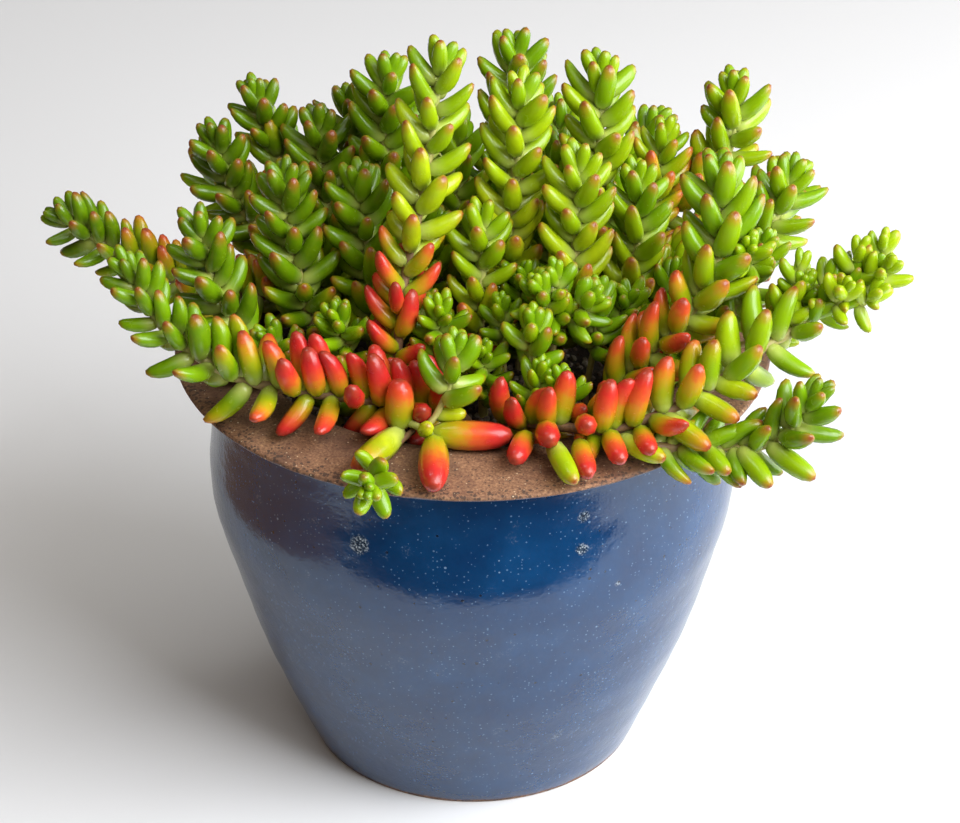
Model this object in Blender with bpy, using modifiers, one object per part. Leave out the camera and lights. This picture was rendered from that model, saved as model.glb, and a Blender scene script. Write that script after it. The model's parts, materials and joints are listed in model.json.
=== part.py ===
"""Potted jelly bean plant: a glazed stoneware pot, its soil and the leafy stems.

Lengths are in millimetres and turned to metres by MM. The origin is the middle of
the pot's flat foot, +Z is up and the side that is looked at faces -Y.
"""
import math
import random

import bmesh
import bpy
from mathutils import Matrix, Vector

MM = 0.001
UP = Vector((0.0, 0.0, 1.0))

# pot, turned round Z: its collar falls by LIP_DROP from the inner edge to the lip
POT_H = 176.7
FOOT_R = 65.0
LIP_R = 115.0
LIP_DROP = 2.6
LIP_ROUND = 1.6
COLLAR_IN_R = 85.0
COLLAR_THICK = 7.0
COLLAR_FLARE = 4.0
WALL = 8.0
FLOOR = 11.0
POT_STEPS = 32
# radius and height of the outside, from the neck down to the foot
BODY = [(101.0, 162.0), (101.4, 146.0), (103.0, 126.0), (101.8, 108.0), (96.7, 88.0), (88.0, 58.0),
        (78.5, 32.0), (70.0, 11.0), (66.0, 1.5)]
BODY_STEP = 25.0
SEAT_R = 52.0
SEAT_COVE = (7.0, 5.0)
INNER_TOP = 150.0
INNER_LOW = 25.0
DRAIN_D = 10.0
DRAIN_SIDES = 12
DRAIN_COUNT = 3
DRAIN_PITCH_R = 30.0

# soil plug, with GAP to everything that it touches
SOIL_TOP = 166.0
SOIL_CROWN = 2.0
SHOULDER_Z = 160.0
GAP = 0.3

# stems and leaves
ROOT_DEPTH = 20.0
STRAIGHT = 5.0
HOLE_SIDES = 5
OVERCUT = 10.0
STEM_R = 1.9
BUD_STEM_R = 1.3
CORE_SHARE = 0.2
TIP_R = 1.2
BUD_LENGTH = 12.0
GOLDEN = math.radians(137.508)
FINE_STEP = 2.0
TUBE_STEP = 21.0
CURVE_PARTS = 24
LEAF_SIDES = 4
LEAF_RINGS = 3
LEAF_FAT = 0.42
LEAF_BEND = 0.16
LEAF_PITCH = 0.5
SEED = 7
# what a leaf tries, in turn, where it would cross another node: size, turn and tilt in degrees
LEAF_SCALES = (1, 0.88, 0.76)
LEAF_SPINS = (0, 14, -14, 28, -28, 42, -42)
LEAF_TILTS = (0, 12, -12, 24)

# Each row is a shoot: node, leaf length, bare length from its start, route.
# A route starts at the soil with x, y alone, or on its mother shoot with x, y, z.
SHOOTS = [
    ("stem_far_left", 16, 66, [(-52, 8), (-74, 8, 187), (-104, 10, 190), (-127, 14, 201), (-149, 20, 218)]),
    ("stem_left_front", 21, 14, [(-2, -56), (-25, -66, 183), (-45, -70, 189), (-66, -68, 191),
                                 (-90, -62, 195), (-110, -56, 211), (-123, -48, 231)]),
    ("stem_left_middle", 18, 34, [(-62, -30), (-80, -30, 186), (-93, -28, 208), (-100, -22, 232)]),
    ("stem_bare_left", 16, 60, [(-46, 46), (-64, 52, 205), (-75, 56, 220), (-85, 62, 246)]),
    ("stem_left_back", 17, 30, [(-64, 32), (-80, 42, 195), (-93, 45, 211), (-99, 48, 234)]),
    ("stem_left_inner", 18, 20, [(-60, -4), (-65, -8, 200), (-69, -4, 219), (-71, 0, 240)]),
    ("stem_shade_left", 17, 30, [(-48, 30), (-56, 38, 205), (-60, 48, 240)]),
    ("stem_inner_left", 18, 18, [(-38, -12), (-38, -6, 194), (-41, 0, 213), (-43, 6, 237)]),
    ("stem_shade_back", 17, 30, [(-38, 62), (-46, 65, 212), (-49, 70, 238)]),
    ("stem_back_left", 18, 34, [(-30, 34), (-34, 42, 225), (-33, 50, 261)]),
    ("stem_tall", 18, 8, [(-26, -44), (-28, -43, 190), (-26, -35, 215), (-21, -24, 237),
                          (-16, -12, 264), (-12, 0, 296)]),
    ("stem_middle", 17, 18, [(2, -26), (3, -22, 203), (4, -14, 231)]),
    ("stem_old_front", 24, 90, [(-28, -68), (-27, -73, 179), (-24, -79, 184), (-17, -85, 184), (-9, -89, 182)]),
    ("stem_old_front", 9, 14, [(-18, -84, 184), (-13, -78, 190), (-7, -68, 203), (-3, -63, 213)]),
    ("stem_old_front", 10, 20, [(-20, -83, 184), (-24, -96, 183), (-31, -112, 183), (-36, -124, 180)]),
    ("stem_bud_front", 9, 16, [(18, -50), (21, -54, 190), (22, -55, 211)]),
    ("stem_bud_upper", 9, 26, [(28, -38), (31, -40, 202), (31, -38, 222)]),
    ("stem_bud_right", 9, 18, [(43, -36), (46, -40, 196), (47, -36, 214)]),
    ("stem_bud_shade", 8, 22, [(12, -38), (11, -37, 208)]),
    ("stem_back_top", 19, 38, [(12, 52), (16, 58, 225), (16, 68, 268)]),
    ("stem_top", 19, 16, [(12, 2), (14, -2, 210), (16, 4, 245), (18, 14, 281)]),
    ("stem_right_tall", 18, 34, [(44, 16), (48, 22, 235), (49, 34, 270)]),
    ("stem_right_middle", 18, 16, [(32, -16), (37, -20, 202), (39, -14, 225), (40, -6, 250)]),
    ("stem_right_inner", 17, 16, [(58, 2), (63, 10, 205), (63, 20, 231)]),
    ("stem_right_back", 15, 12, [(62, 36), (70, 46, 205), (75, 55, 232)]),
    ("stem_far_back", 18, 44, [(48, 54), (53, 56, 184), (82, 58, 202), (100, 57, 226), (102, 62, 248)]),
    ("stem_right_comb", 20, 16, [(48, -54), (63, -53, 194), (80, -51, 213), (91, -43, 235), (91, -29, 258)]),
    ("stem_right_outer", 17, 44, [(64, 16), (70, 17, 184), (90, 17, 196), (112, 18, 210), (123, 26, 229)]),
    ("stem_right_low", 14, 34, [(66, -18), (70, -19, 182), (88, -24, 191), (103, -24, 205), (109, -20, 224)]),
    ("stem_right_cluster", 10, 46, [(62, -36), (68, -38, 183), (92, -41, 191), (113, -38, 201), (123, -34, 218)]),
    ("stem_right_front", 20, 12, [(10, -64), (14, -69, 179), (30, -76, 185), (53, -80, 188), (82, -75, 197),
                                  (107, -66, 208), (125, -56, 214), (148, -46, 232)]),
    ("stem_low_right", 16, 50, [(34, -60), (38, -68, 179), (52, -84, 182), (66, -91, 181), (88, -88, 179),
                                (108, -82, 178), (122, -76, 192)]),
    ("stem_right_spur", 11, 52, [(68, -4), (74, -5, 182), (100, -6, 191), (126, -12, 198), (141, -12, 210)]),
    ("stem_rear_left", 17, 26, [(-52, 50), (-57, 54, 182), (-80, 70, 190), (-98, 80, 193), (-104, 85, 208)]),
    ("stem_rear_a", 18, 26, [(-26, 68), (-30, 73, 182), (-50, 92, 190), (-74, 112, 191), (-84, 120, 205)]),
    ("stem_rear_b", 18, 26, [(-8, 64), (-10, 72, 182), (-16, 94, 190), (-24, 120, 188), (-27, 132, 203)]),
    ("stem_rear_c", 18, 26, [(14, 70), (16, 77, 183), (20, 98, 190), (24, 124, 187), (28, 136, 201)]),
    ("stem_rear_d", 18, 26, [(32, 62), (36, 70, 183), (48, 90, 191), (64, 112, 189), (73, 120, 203)]),
    ("stem_rear_right", 18, 26, [(66, 24), (72, 28, 183), (96, 46, 191), (114, 60, 193), (122, 66, 207)]),
    ("stem_rear_inner", 17, 30, [(30, 44), (34, 70, 205), (36, 86, 226)]),
    ("stem_rear_shade", 17, 30, [(-22, 50), (-28, 76, 205), (-30, 92, 224)]),
    ("stem_core_back", 17, 34, [(-8, 24), (-6, 32, 215), (-6, 44, 240)]),
    ("stem_core_right", 16, 30, [(28, 22), (32, 34, 205), (34, 48, 230)]),
]

# Old leaves set by hand on the lying front stem: root, tip, thickness.
OLD_LEAVES = [
    ((-15, -85, 183), (14, -84, 187), 11.0),
    ((-14, -87, 182), (-13, -116, 181), 10.0),
    ((-26, -80, 181), (-43, -103, 184), 10.0),
    ((-27, -79, 181), (-26, -76, 202), 11.0),
    ((-14, -79, 189), (-3, -79, 192), 5.5),
    ((-18, -84, 183), (-16, -92, 190), 5.5),
]


def smooth(value):
    """Ease from 0 to 1."""
    value = min(1.0, max(0.0, value))
    return value * value * (3.0 - 2.0 * value)


def curve_through(points, spacing):
    """Catmull-Rom curve from the second point to the last, sampled at an even spacing.

    The first point only gives the direction that the curve starts in.
    """
    ends = points + [points[-1] * 2 - points[-2]]
    fine = []
    for a, b, c, d in zip(ends, ends[1:], ends[2:], ends[3:]):
        for step in range(CURVE_PARTS):
            t = step / CURVE_PARTS
            fine.append(((b * 2) + (c - a) * t + (a * 2 - b * 5 + c * 4 - d) * t * t
                         + (b * 3 - a - c * 3 + d) * t ** 3) / 2)
    fine.append(points[-1])
    reach = [0.0]
    for a, b in zip(fine, fine[1:]):
        reach.append(reach[-1] + (b - a).length)
    count = max(2, round(reach[-1] / spacing))
    path = []
    i = 0
    for k in range(count + 1):
        goal = reach[-1] * k / count
        while i < len(fine) - 2 and reach[i + 1] < goal:
            i += 1
        part = (goal - reach[i]) / max(1e-9, reach[i + 1] - reach[i])
        path.append(fine[i].lerp(fine[i + 1], min(1.0, part)))
    return path


class Leaf:
    """One bean-shaped leaf: its root, its axis, the way it curls and its size."""

    def __init__(self, root, axis, curl, length, width):
        self.root = root
        self.axis = axis.normalized()
        self.curl = (curl - self.axis * curl.dot(self.axis)).normalized()
        self.length = length
        self.width = width

    def centre(self, along):
        bend = self.curl * (LEAF_BEND * self.length * along * along)
        return self.root + self.axis * (self.length * along) + bend

    def balls(self):
        """Balls along the leaf that hold its thick part."""
        sizes = [(0.24, 0.4), (0.42, 0.5), (0.6, 0.57), (0.76, 0.54), (0.92, 0.34)]
        return [(self.centre(along), self.width * part) for along, part in sizes]

    def turned(self, stem_axis, spin, tilt, scale):
        """The same leaf spun round its stem, tilted towards the stem's tip and scaled."""
        spun = Matrix.Rotation(spin, 3, stem_axis)
        axis = spun @ self.axis
        curl = spun @ self.curl
        axis = Matrix.Rotation(tilt, 3, axis.cross(curl)) @ axis
        return Leaf(self.root, axis, curl, self.length * scale, self.width * scale)


def shoot_route(route):
    """The route's points: its foot in the soil and the same spot just above, or a fork."""
    if len(route[0]) == 2:
        x, y = route[0]
        foot = [Vector((x, y, SOIL_TOP - ROOT_DEPTH)), Vector((x, y, SOIL_TOP + STRAIGHT))]
        return foot + [Vector(p) for p in route[1:]]
    fork = [Vector(p) for p in route]
    return [fork[0] * 2 - fork[1]] + fork


def shoot_leaves(path, step, leaf_length, bare, rng):
    """Leaves on a spiral, closer, shorter and more upright towards the tip."""
    total = step * (len(path) - 1)
    head = 1.5 * leaf_length
    leaves = []
    back = 0.0
    number = 0
    turn = rng.uniform(0, 2 * math.pi)
    while back < total - bare:
        young = smooth((back + 0.2 * head) / head)
        place = (total - back) / step
        i = min(len(path) - 2, int(place))
        point = path[i].lerp(path[i + 1], place - i)
        along = (path[i + 1] - path[i]).normalized()
        angle = turn + number * GOLDEN
        out = UP.rotation_difference(along) @ Vector((math.cos(angle), math.sin(angle), 0))
        opening = math.radians(62 * smooth(back / head + 0.08) ** 0.7 + rng.uniform(-4, 4))
        axis = along * math.cos(opening) + out * math.sin(opening)
        lying = 1.0 - abs(along.z)
        lift = 0.9 if out.z > -0.3 else 0.1
        axis = axis.normalized() + UP * (lift * lying * young)
        length = leaf_length * (0.55 + 0.45 * young) * rng.uniform(0.93, 1.07)
        width = length * LEAF_FAT * (1.12 - 0.12 * young)
        leaf = Leaf(point, axis, along + UP * 0.6 * lying, length, width)
        leaves.append((back, along, leaf))
        back += LEAF_PITCH * leaf_length * (0.4 + 0.6 * young)
        number += 1
    return leaves


def free_height(x, y, z):
    """How far a point lies from the soil, the collar and the pot's side."""
    radius = math.hypot(x, y)
    if radius <= LIP_R:
        collar = POT_H - LIP_DROP * max(0.0, (radius - COLLAR_IN_R) / (LIP_R - COLLAR_IN_R))
        return z - (collar if radius > COLLAR_IN_R - 4 else SOIL_TOP + SOIL_CROWN)
    if z > POT_H - LIP_DROP:
        return math.hypot(radius - LIP_R, z - POT_H + LIP_DROP)
    return radius - LIP_R


class Crowd:
    """Every ball of every node, to keep the nodes clear of each other."""

    def __init__(self):
        self.balls = {}

    def add(self, node, balls):
        self.balls.setdefault(node, []).extend(balls)

    def is_clear(self, node, balls):
        for spot, size in balls:
            if free_height(*spot) < size + GAP:
                return False
        for other, taken in self.balls.items():
            if other == node:
                continue
            for spot, size in balls:
                for there, girth in taken:
                    if (spot - there).length_squared < (size + girth + GAP) ** 2:
                        return False
        return True


def stem_radius(back, leaf_length, bud):
    """Stem thickness: even below, a core inside the head, thin at the tip."""
    base = BUD_STEM_R if bud else STEM_R
    near = smooth((1.4 * leaf_length - back) / (0.7 * leaf_length))
    core = base + (CORE_SHARE * leaf_length - base) * near
    return TIP_R + (core - TIP_R) * smooth(back / (0.45 * leaf_length) + 0.2)


def material(name, colour, roughness):
    made = bpy.data.materials.new(name)
    made.use_nodes = True
    shader = made.node_tree.nodes["Principled BSDF"]
    shader.inputs["Base Color"].default_value = (*colour, 1.0)
    shader.inputs["Roughness"].default_value = roughness
    return made


def new_object(name, mesh, collection):
    made = bpy.data.objects.new(name, mesh)
    collection.objects.link(made)
    return made


def evaluated_mesh(obj):
    """The object's mesh with its modifiers or bevel applied, in world space."""
    bpy.context.view_layer.update()
    graph = bpy.context.evaluated_depsgraph_get()
    mesh = bpy.data.meshes.new_from_object(obj.evaluated_get(graph))
    mesh.transform(obj.matrix_world)
    return mesh


def turned(name, profile, steps, collection):
    """A profile in the XZ plane turned round Z."""
    bm = bmesh.new()
    verts = [bm.verts.new((r * MM, 0.0, z * MM)) for r, z in profile]
    for a, b in zip(verts, verts[1:]):
        bm.edges.new((a, b))
    mesh = bpy.data.meshes.new(name)
    bm.to_mesh(mesh)
    bm.free()
    obj = new_object(name, mesh, collection)
    screw = obj.modifiers.new("turn", "SCREW")
    screw.axis = "Z"
    screw.steps = steps
    screw.render_steps = steps
    screw.use_merge_vertices = True
    screw.merge_threshold = 0.00001
    return obj


def body_outline(inset, top, low):
    """The outside's curve from the neck down, moved in by the inset, between two heights."""
    points = [Vector((r, 0.0, z)) for r, z in BODY]
    points.insert(0, points[0] * 2 - points[1])
    path = curve_through(points, BODY_STEP)
    return [(p.x - inset, p.z) for p in path if low <= p.z <= top]


def build_pot(collection, cutters):
    """One thrown body: foot, belly, neck, overhanging flat collar, inner wall and floor."""
    under = POT_H - LIP_DROP - COLLAR_THICK
    lip_z = POT_H - LIP_DROP
    profile = [(COLLAR_IN_R, POT_H), (LIP_R - LIP_ROUND, lip_z), (LIP_R, lip_z - LIP_ROUND),
               (LIP_R - LIP_ROUND / 2, lip_z - 2 * LIP_ROUND), (BODY[0][0] + COLLAR_FLARE, under)]
    profile += body_outline(0.0, under, 0.0)
    profile += [(FOOT_R, 0.0), (0.0, 0.0), (0.0, FLOOR), (SEAT_R, FLOOR)]
    profile.append((SEAT_R + SEAT_COVE[0], FLOOR + SEAT_COVE[1]))
    profile += reversed(body_outline(WALL, INNER_TOP, INNER_LOW))
    profile += [(COLLAR_IN_R + COLLAR_FLARE, SHOULDER_Z), (COLLAR_IN_R, POT_H - COLLAR_THICK)]
    profile.append(profile[0])
    pot = turned("pot", profile, POT_STEPS, collection)
    pot.data.materials.append(material("glazed_stoneware", (0.012, 0.05, 0.13), 0.12))
    for i in range(DRAIN_COUNT):
        angle = math.pi / 2 + i * 2 * math.pi / DRAIN_COUNT
        bm = bmesh.new()
        bore = DRAIN_D / 2 * MM
        bmesh.ops.create_cone(bm, cap_ends=True, segments=DRAIN_SIDES, radius1=bore, radius2=bore,
                              depth=(FLOOR + OVERCUT) * 2 * MM)
        mesh = bpy.data.meshes.new("drain_cutter")
        bm.to_mesh(mesh)
        bm.free()
        cutter = new_object("drain_cutter_%d" % i, mesh, cutters)
        cutter.location = (DRAIN_PITCH_R * math.cos(angle) * MM, DRAIN_PITCH_R * math.sin(angle) * MM, 0)
        cutter.hide_render = True
        cutter.display_type = "WIRE"
    cut = pot.modifiers.new("drains", "BOOLEAN")
    cut.operation = "DIFFERENCE"
    cut.operand_type = "COLLECTION"
    cut.collection = cutters
    return pot


def build_soil(collection, cutters, roots):
    """Potting mix that fills the pot, a little crowned, with a hole for each stem."""
    top = POT_H - COLLAR_THICK - SHOULDER_Z
    widening = COLLAR_FLARE * (POT_H - COLLAR_THICK - SOIL_TOP) / top
    profile = [(0.0, SOIL_TOP + SOIL_CROWN), (COLLAR_IN_R + widening - GAP, SOIL_TOP),
               (COLLAR_IN_R + COLLAR_FLARE - GAP, SHOULDER_Z)]
    profile += body_outline(WALL + GAP, INNER_TOP, INNER_LOW)
    profile.append((SEAT_R + SEAT_COVE[0] - GAP, FLOOR + SEAT_COVE[1] + GAP))
    profile += [(SEAT_R - GAP, FLOOR + GAP), (0.0, FLOOR + GAP)]
    soil = turned("soil", profile, POT_STEPS, collection)
    soil.data.materials.append(material("potting_mix", (0.035, 0.022, 0.014), 0.95))
    for i, (x, y, radius) in enumerate(roots):
        bm = bmesh.new()
        depth = ROOT_DEPTH + GAP + OVERCUT
        bore = (radius + 2 * GAP) * MM
        bmesh.ops.create_cone(bm, cap_ends=True, segments=HOLE_SIDES, radius1=bore, radius2=bore,
                              depth=depth * MM)
        mesh = bpy.data.meshes.new("root_hole")
        bm.to_mesh(mesh)
        bm.free()
        cutter = new_object("root_hole_%d" % i, mesh, cutters)
        cutter.location = (x * MM, y * MM, (SOIL_TOP - ROOT_DEPTH - GAP + depth / 2) * MM)
        cutter.hide_render = True
        cutter.display_type = "WIRE"
    cut = soil.modifiers.new("root holes", "BOOLEAN")
    cut.operation = "DIFFERENCE"
    cut.operand_type = "COLLECTION"
    cut.collection = cutters
    return soil


def stem_tube(name, points, leaf_length, bud, collection):
    """The stem as a bevelled curve, with its straight foot, turned to a closed mesh."""
    path = curve_through(points, TUBE_STEP)
    step = sum((b - a).length for a, b in zip(path, path[1:])) / (len(path) - 1)
    if points[0].z < SOIL_TOP:
        path.insert(0, points[0])
    curve = bpy.data.curves.new(name, "CURVE")
    curve.dimensions = "3D"
    curve.bevel_depth = MM
    curve.bevel_resolution = 0
    curve.use_fill_caps = True
    line = curve.splines.new("POLY")
    line.points.add(len(path) - 1)
    for i, point in enumerate(path):
        line.points[i].co = (*(point * MM), 1.0)
        line.points[i].radius = stem_radius(step * (len(path) - 1 - i), leaf_length, bud)
    guide = new_object(name + "_guide", curve, collection)
    mesh = evaluated_mesh(guide)
    bpy.data.objects.remove(guide)
    bm = bmesh.new()
    bm.from_mesh(mesh)
    bmesh.ops.remove_doubles(bm, verts=bm.verts, dist=0.00001)
    bm.to_mesh(mesh)
    bm.free()
    return mesh


def leaf_object(leaf, collection):
    """A bean: a coarse ball drawn out along the leaf, fattest near its tip."""
    bm = bmesh.new()
    bmesh.ops.create_uvsphere(bm, u_segments=LEAF_SIDES, v_segments=LEAF_RINGS, radius=1.0)
    side = leaf.axis.cross(leaf.curl)
    for vert in bm.verts:
        z = vert.co.z
        fat = leaf.width / 2 * (1.08 + 0.52 * z)
        along = (z + 1) / 2 - 0.1 * (1 - z * z)
        place = leaf.centre(along) + leaf.curl * vert.co.x * fat + side * vert.co.y * fat
        vert.co = place * MM
    bmesh.ops.recalc_face_normals(bm, faces=bm.faces)
    mesh = bpy.data.meshes.new("leaf")
    bm.to_mesh(mesh)
    bm.free()
    return new_object("leaf", mesh, collection)


def keep_largest(mesh):
    """Drops loose scraps that a union may leave."""
    bm = bmesh.new()
    bm.from_mesh(mesh)
    todo = set(bm.verts)
    groups = []
    while todo:
        front = [todo.pop()]
        group = set(front)
        while front:
            for edge in front.pop().link_edges:
                for vert in edge.verts:
                    if vert in todo:
                        todo.remove(vert)
                        group.add(vert)
                        front.append(vert)
        groups.append(group)
    groups.sort(key=len, reverse=True)
    for group in groups[1:]:
        bmesh.ops.delete(bm, geom=list(group), context="VERTS")
    bm.to_mesh(mesh)
    bm.free()


def fuse(name, solids, finish, collection):
    """Joins a node's tubes and leaves into one body."""
    base = solids.objects[0]
    parts = bpy.data.collections.new(name + "_parts")
    bpy.context.scene.collection.children.link(parts)
    for obj in list(solids.objects)[1:]:
        solids.objects.unlink(obj)
        parts.objects.link(obj)
    join = base.modifiers.new("fuse", "BOOLEAN")
    join.operation = "UNION"
    join.operand_type = "COLLECTION"
    join.collection = parts
    mesh = evaluated_mesh(base)
    for obj in list(parts.objects) + [base]:
        bpy.data.objects.remove(obj)
    bpy.data.collections.remove(parts)
    keep_largest(mesh)
    mesh.name = name
    mesh.materials.clear()
    mesh.materials.append(finish)
    return new_object(name, mesh, collection)


def plan_plant():
    """Paths and leaves of every shoot, turned, shrunk or dropped where nodes would cross."""
    rng = random.Random(SEED)
    crowd = Crowd()
    shoots = []
    waiting = []
    for node, leaf_length, bare, route in SHOOTS:
        points = shoot_route(route)
        fine = curve_through(points, FINE_STEP)
        step = sum((b - a).length for a, b in zip(fine, fine[1:])) / (len(fine) - 1)
        bud = leaf_length < BUD_LENGTH
        leaves = shoot_leaves(fine, step, leaf_length, bare, rng)
        total = step * (len(fine) - 1)
        tube = [(p, stem_radius(total - i * step, leaf_length, bud)) for i, p in enumerate(fine)]
        crowd.add(node, tube)
        shoots.append((node, leaf_length, bud, points))
        waiting += [(back, node, along, leaf) for back, along, leaf in leaves]
    kept = {}
    for root, tip, width in OLD_LEAVES:
        axis = Vector(tip) - Vector(root)
        leaf = Leaf(Vector(root), axis, UP, axis.length, width)
        kept.setdefault("stem_old_front", []).append(leaf)
        crowd.add("stem_old_front", leaf.balls())
    waiting.sort(key=lambda row: row[0])
    tries = [(math.radians(spin), math.radians(tilt), scale)
             for scale in LEAF_SCALES for spin in LEAF_SPINS for tilt in LEAF_TILTS]
    for back, node, along, leaf in waiting:
        for spin, tilt, scale in tries:
            other = leaf.turned(along, spin, tilt, scale)
            if crowd.is_clear(node, other.balls()):
                kept.setdefault(node, []).append(other)
                crowd.add(node, other.balls())
                break
    return shoots, kept


def build_plant(collection):
    """Every leafy stem as one body, and the list of the holes that they need."""
    shoots, kept = plan_plant()
    finish = material("succulent_leaf", (0.19, 0.42, 0.04), 0.28)
    scratch = bpy.data.collections.new("fusing")
    bpy.context.scene.collection.children.link(scratch)
    roots = []
    for node in dict.fromkeys(row[0] for row in shoots):
        for name, leaf_length, bud, points in shoots:
            if name != node:
                continue
            new_object("tube", stem_tube(name, points, leaf_length, bud, scratch), scratch)
            if points[0].z < SOIL_TOP:
                roots.append((points[0].x, points[0].y, BUD_STEM_R if bud else STEM_R))
        for leaf in kept.get(node, []):
            leaf_object(leaf, scratch)
        fuse(node, scratch, finish, collection)
    bpy.data.collections.remove(scratch)
    return roots


def main():
    for obj in list(bpy.data.objects):
        bpy.data.objects.remove(obj)
    plant = bpy.data.collections.new("potted_jelly_bean_plant")
    pot_cutters = bpy.data.collections.new("pot_cutters")
    soil_cutters = bpy.data.collections.new("soil_cutters")
    for collection in (plant, pot_cutters, soil_cutters):
        bpy.context.scene.collection.children.link(collection)
    roots = build_plant(plant)
    build_pot(plant, pot_cutters)
    build_soil(plant, soil_cutters, roots)


main()
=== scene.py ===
"""The looks of the potted jelly bean plant: leaves, stems, soil and the glazed pot.

Lengths are in millimetres and turned to metres by MM. The pot's outline repeats the CAD
model's own values. So do the routes of 32 stems; parts of the other nine follow the photo.
"""
import json
import math
import random

import bmesh
import bpy
from mathutils import Matrix, Vector, noise

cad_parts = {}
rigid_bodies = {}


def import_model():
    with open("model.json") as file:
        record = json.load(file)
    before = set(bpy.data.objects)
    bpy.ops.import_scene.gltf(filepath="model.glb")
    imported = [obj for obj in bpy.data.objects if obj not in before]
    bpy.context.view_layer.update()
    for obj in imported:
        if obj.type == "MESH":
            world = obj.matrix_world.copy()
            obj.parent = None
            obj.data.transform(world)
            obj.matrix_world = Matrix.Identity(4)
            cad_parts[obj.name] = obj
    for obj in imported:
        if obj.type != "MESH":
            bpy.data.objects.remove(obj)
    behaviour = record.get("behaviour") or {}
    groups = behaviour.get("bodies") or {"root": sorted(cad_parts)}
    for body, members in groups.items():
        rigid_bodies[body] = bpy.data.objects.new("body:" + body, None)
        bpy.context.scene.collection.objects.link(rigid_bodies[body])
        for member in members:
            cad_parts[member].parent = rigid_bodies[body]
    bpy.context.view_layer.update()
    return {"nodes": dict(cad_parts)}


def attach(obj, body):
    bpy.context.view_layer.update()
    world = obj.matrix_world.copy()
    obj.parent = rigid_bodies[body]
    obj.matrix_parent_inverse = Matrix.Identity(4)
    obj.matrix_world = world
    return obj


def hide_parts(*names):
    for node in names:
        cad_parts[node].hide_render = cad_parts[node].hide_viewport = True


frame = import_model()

MM = 0.001
UP = Vector((0.0, 0.0, 1.0))

# the pot, turned round Z
POT_H = 176.7
FOOT_R = 65.0
LIP_R = 115.0
LIP_DROP = 2.6
LIP_ROUND = 1.2
COLLAR_IN_R = 85.0
COLLAR_THICK = 7.0
COLLAR_FLARE = 4.0
COLLAR_DISH = 0.35
INNER_EDGE = 0.8
WALL = 8.0
FLOOR = 11.0
# radius and height of the outside, from the neck down to the foot
BODY = [(101.0, 162.0), (101.4, 146.0), (103.0, 126.0), (101.8, 108.0), (96.7, 88.0), (88.0, 58.0),
        (78.5, 32.0), (70.0, 11.0), (66.0, 1.5)]
SEAT_R = 52.0
SEAT_COVE = (7.0, 5.0)
INNER_TOP = 150.0
INNER_LOW = 25.0
DRAIN_D = 10.0
DRAIN_COUNT = 3
DRAIN_PITCH_R = 30.0
SHOULDER_Z = 160.0
POT_TURN_STEPS = 144
BODY_STEP = 5.0
COLLAR_STEP = 3.0
# leaves count as over the collar this far inside its edge
COLLAR_CLEAR = 4.0
LIP_STEPS = 7
# how far past the lip's edge, along the outline, the underside ends and the bare inside begins
BARE_PAST = (243.0, 247.0)

SOIL_TOP = 166.0
SOIL_CROWN = 2.0
CRUMBS_PER_M2 = 150000.0
CRUMB_SIZES = (0.6, 2.0)

# stems and leaves
ROOT_DEPTH = 20.0
STRAIGHT = 5.0
STEM_R = 1.8
BUD_STEM_R = 1.2
TIP_R = 0.9
# old leaf scars swell the stem by a twelfth
SCAR = 0.08
# a shoot whose leaves are shorter than this is a young one
BUD_LENGTH = 12.0
SPIRAL = math.radians(135.0)
FINE_STEP = 1.5
CURVE_PARTS = 24
LEAF_BEND = 0.4
OLD_LEAF_BEND = 0.07
# how many degrees further the leaves of a lying stem open
OPEN_LYING = 16.0
# the share of the CAD stem's bare length that stays bare on a grown stem
BARE_SHARE = 0.3
# from the tip down, where small head leaves give way to full ones
SMALL_HEAD = (26.0, 50.0)
# the longest leafy stretch of a young shoot
BUD_LEAFY = 25.0
# the lengths between which a leaf turns from young to fully grown in its colouring
GROWN_FROM = 8.0
GROWN_TO = 16.0
# how much the leaves of one stem differ
LENGTHS_VARY = (0.9, 1.08)
WIDTHS_VARY = (0.92, 1.06)
BENDS_VARY = (0.6, 1.3)
PITCHES_VARY = (0.9, 1.1)
TURNS_VARY = 6
OPENINGS_VARY = 5
REDNESS_VARIES = 0.07
GREENNESS_VARIES = 0.12
# the share of a stem's leafy length over which its redness fades
RED_FADE = 0.36
SEED = 7
STEM_SIDES = 8
LEAF_SIDES = 8
# balls that hold a leaf's thick part: share of its length, radius as a share of its width
LEAF_BALLS = [(0.26, 0.36), (0.45, 0.46), (0.62, 0.5), (0.78, 0.47), (0.93, 0.28)]
# how far the balls of two stems' leaves may sink into each other
PRESS = 1.0
# what a leaf tries, in turn, where it would cross another stem's leaf: size, turn and tilt in degrees
LEAF_SCALES = (1, 0.9, 0.8)
LEAF_SPINS = (0, 12, -12, 24, -24, 36, -36)
LEAF_TILTS = (0, 10, -10, 20)

# How leaves sit on a grown shoot and on a young one. In shares of a leaf's length: its thickness, the
# pitch between leaves, the stretches in which they grow, open and draw apart, and the smallest leaf.
# Then how close the leaves at the tip are, as a share of the pitch, and the opening from the stem at the
# tip and below, in degrees.
GROWN = (0.415, 0.124, 0.62, 0.5, 0.85, 0.68, 0.42, 20.0, 74.0)
YOUNG = (0.48, 0.15, 0.6, 0.75, 0.9, 0.66, 0.55, 14.0, 84.0)

# Factor on the leaf length of a stem's young shoots. The length in SHOOTS has to stay under BUD_LENGTH.
BUD_PLUMP = {"stem_old_front": 1.4, "stem_bud_front": 1.3, "stem_bud_upper": 1.12, "stem_bud_right": 1.12}

# Stems that lie, but whose leaves spread round them all the same: how lying they count as.
SPREAD = {"stem_low_right": 0.25}

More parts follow.
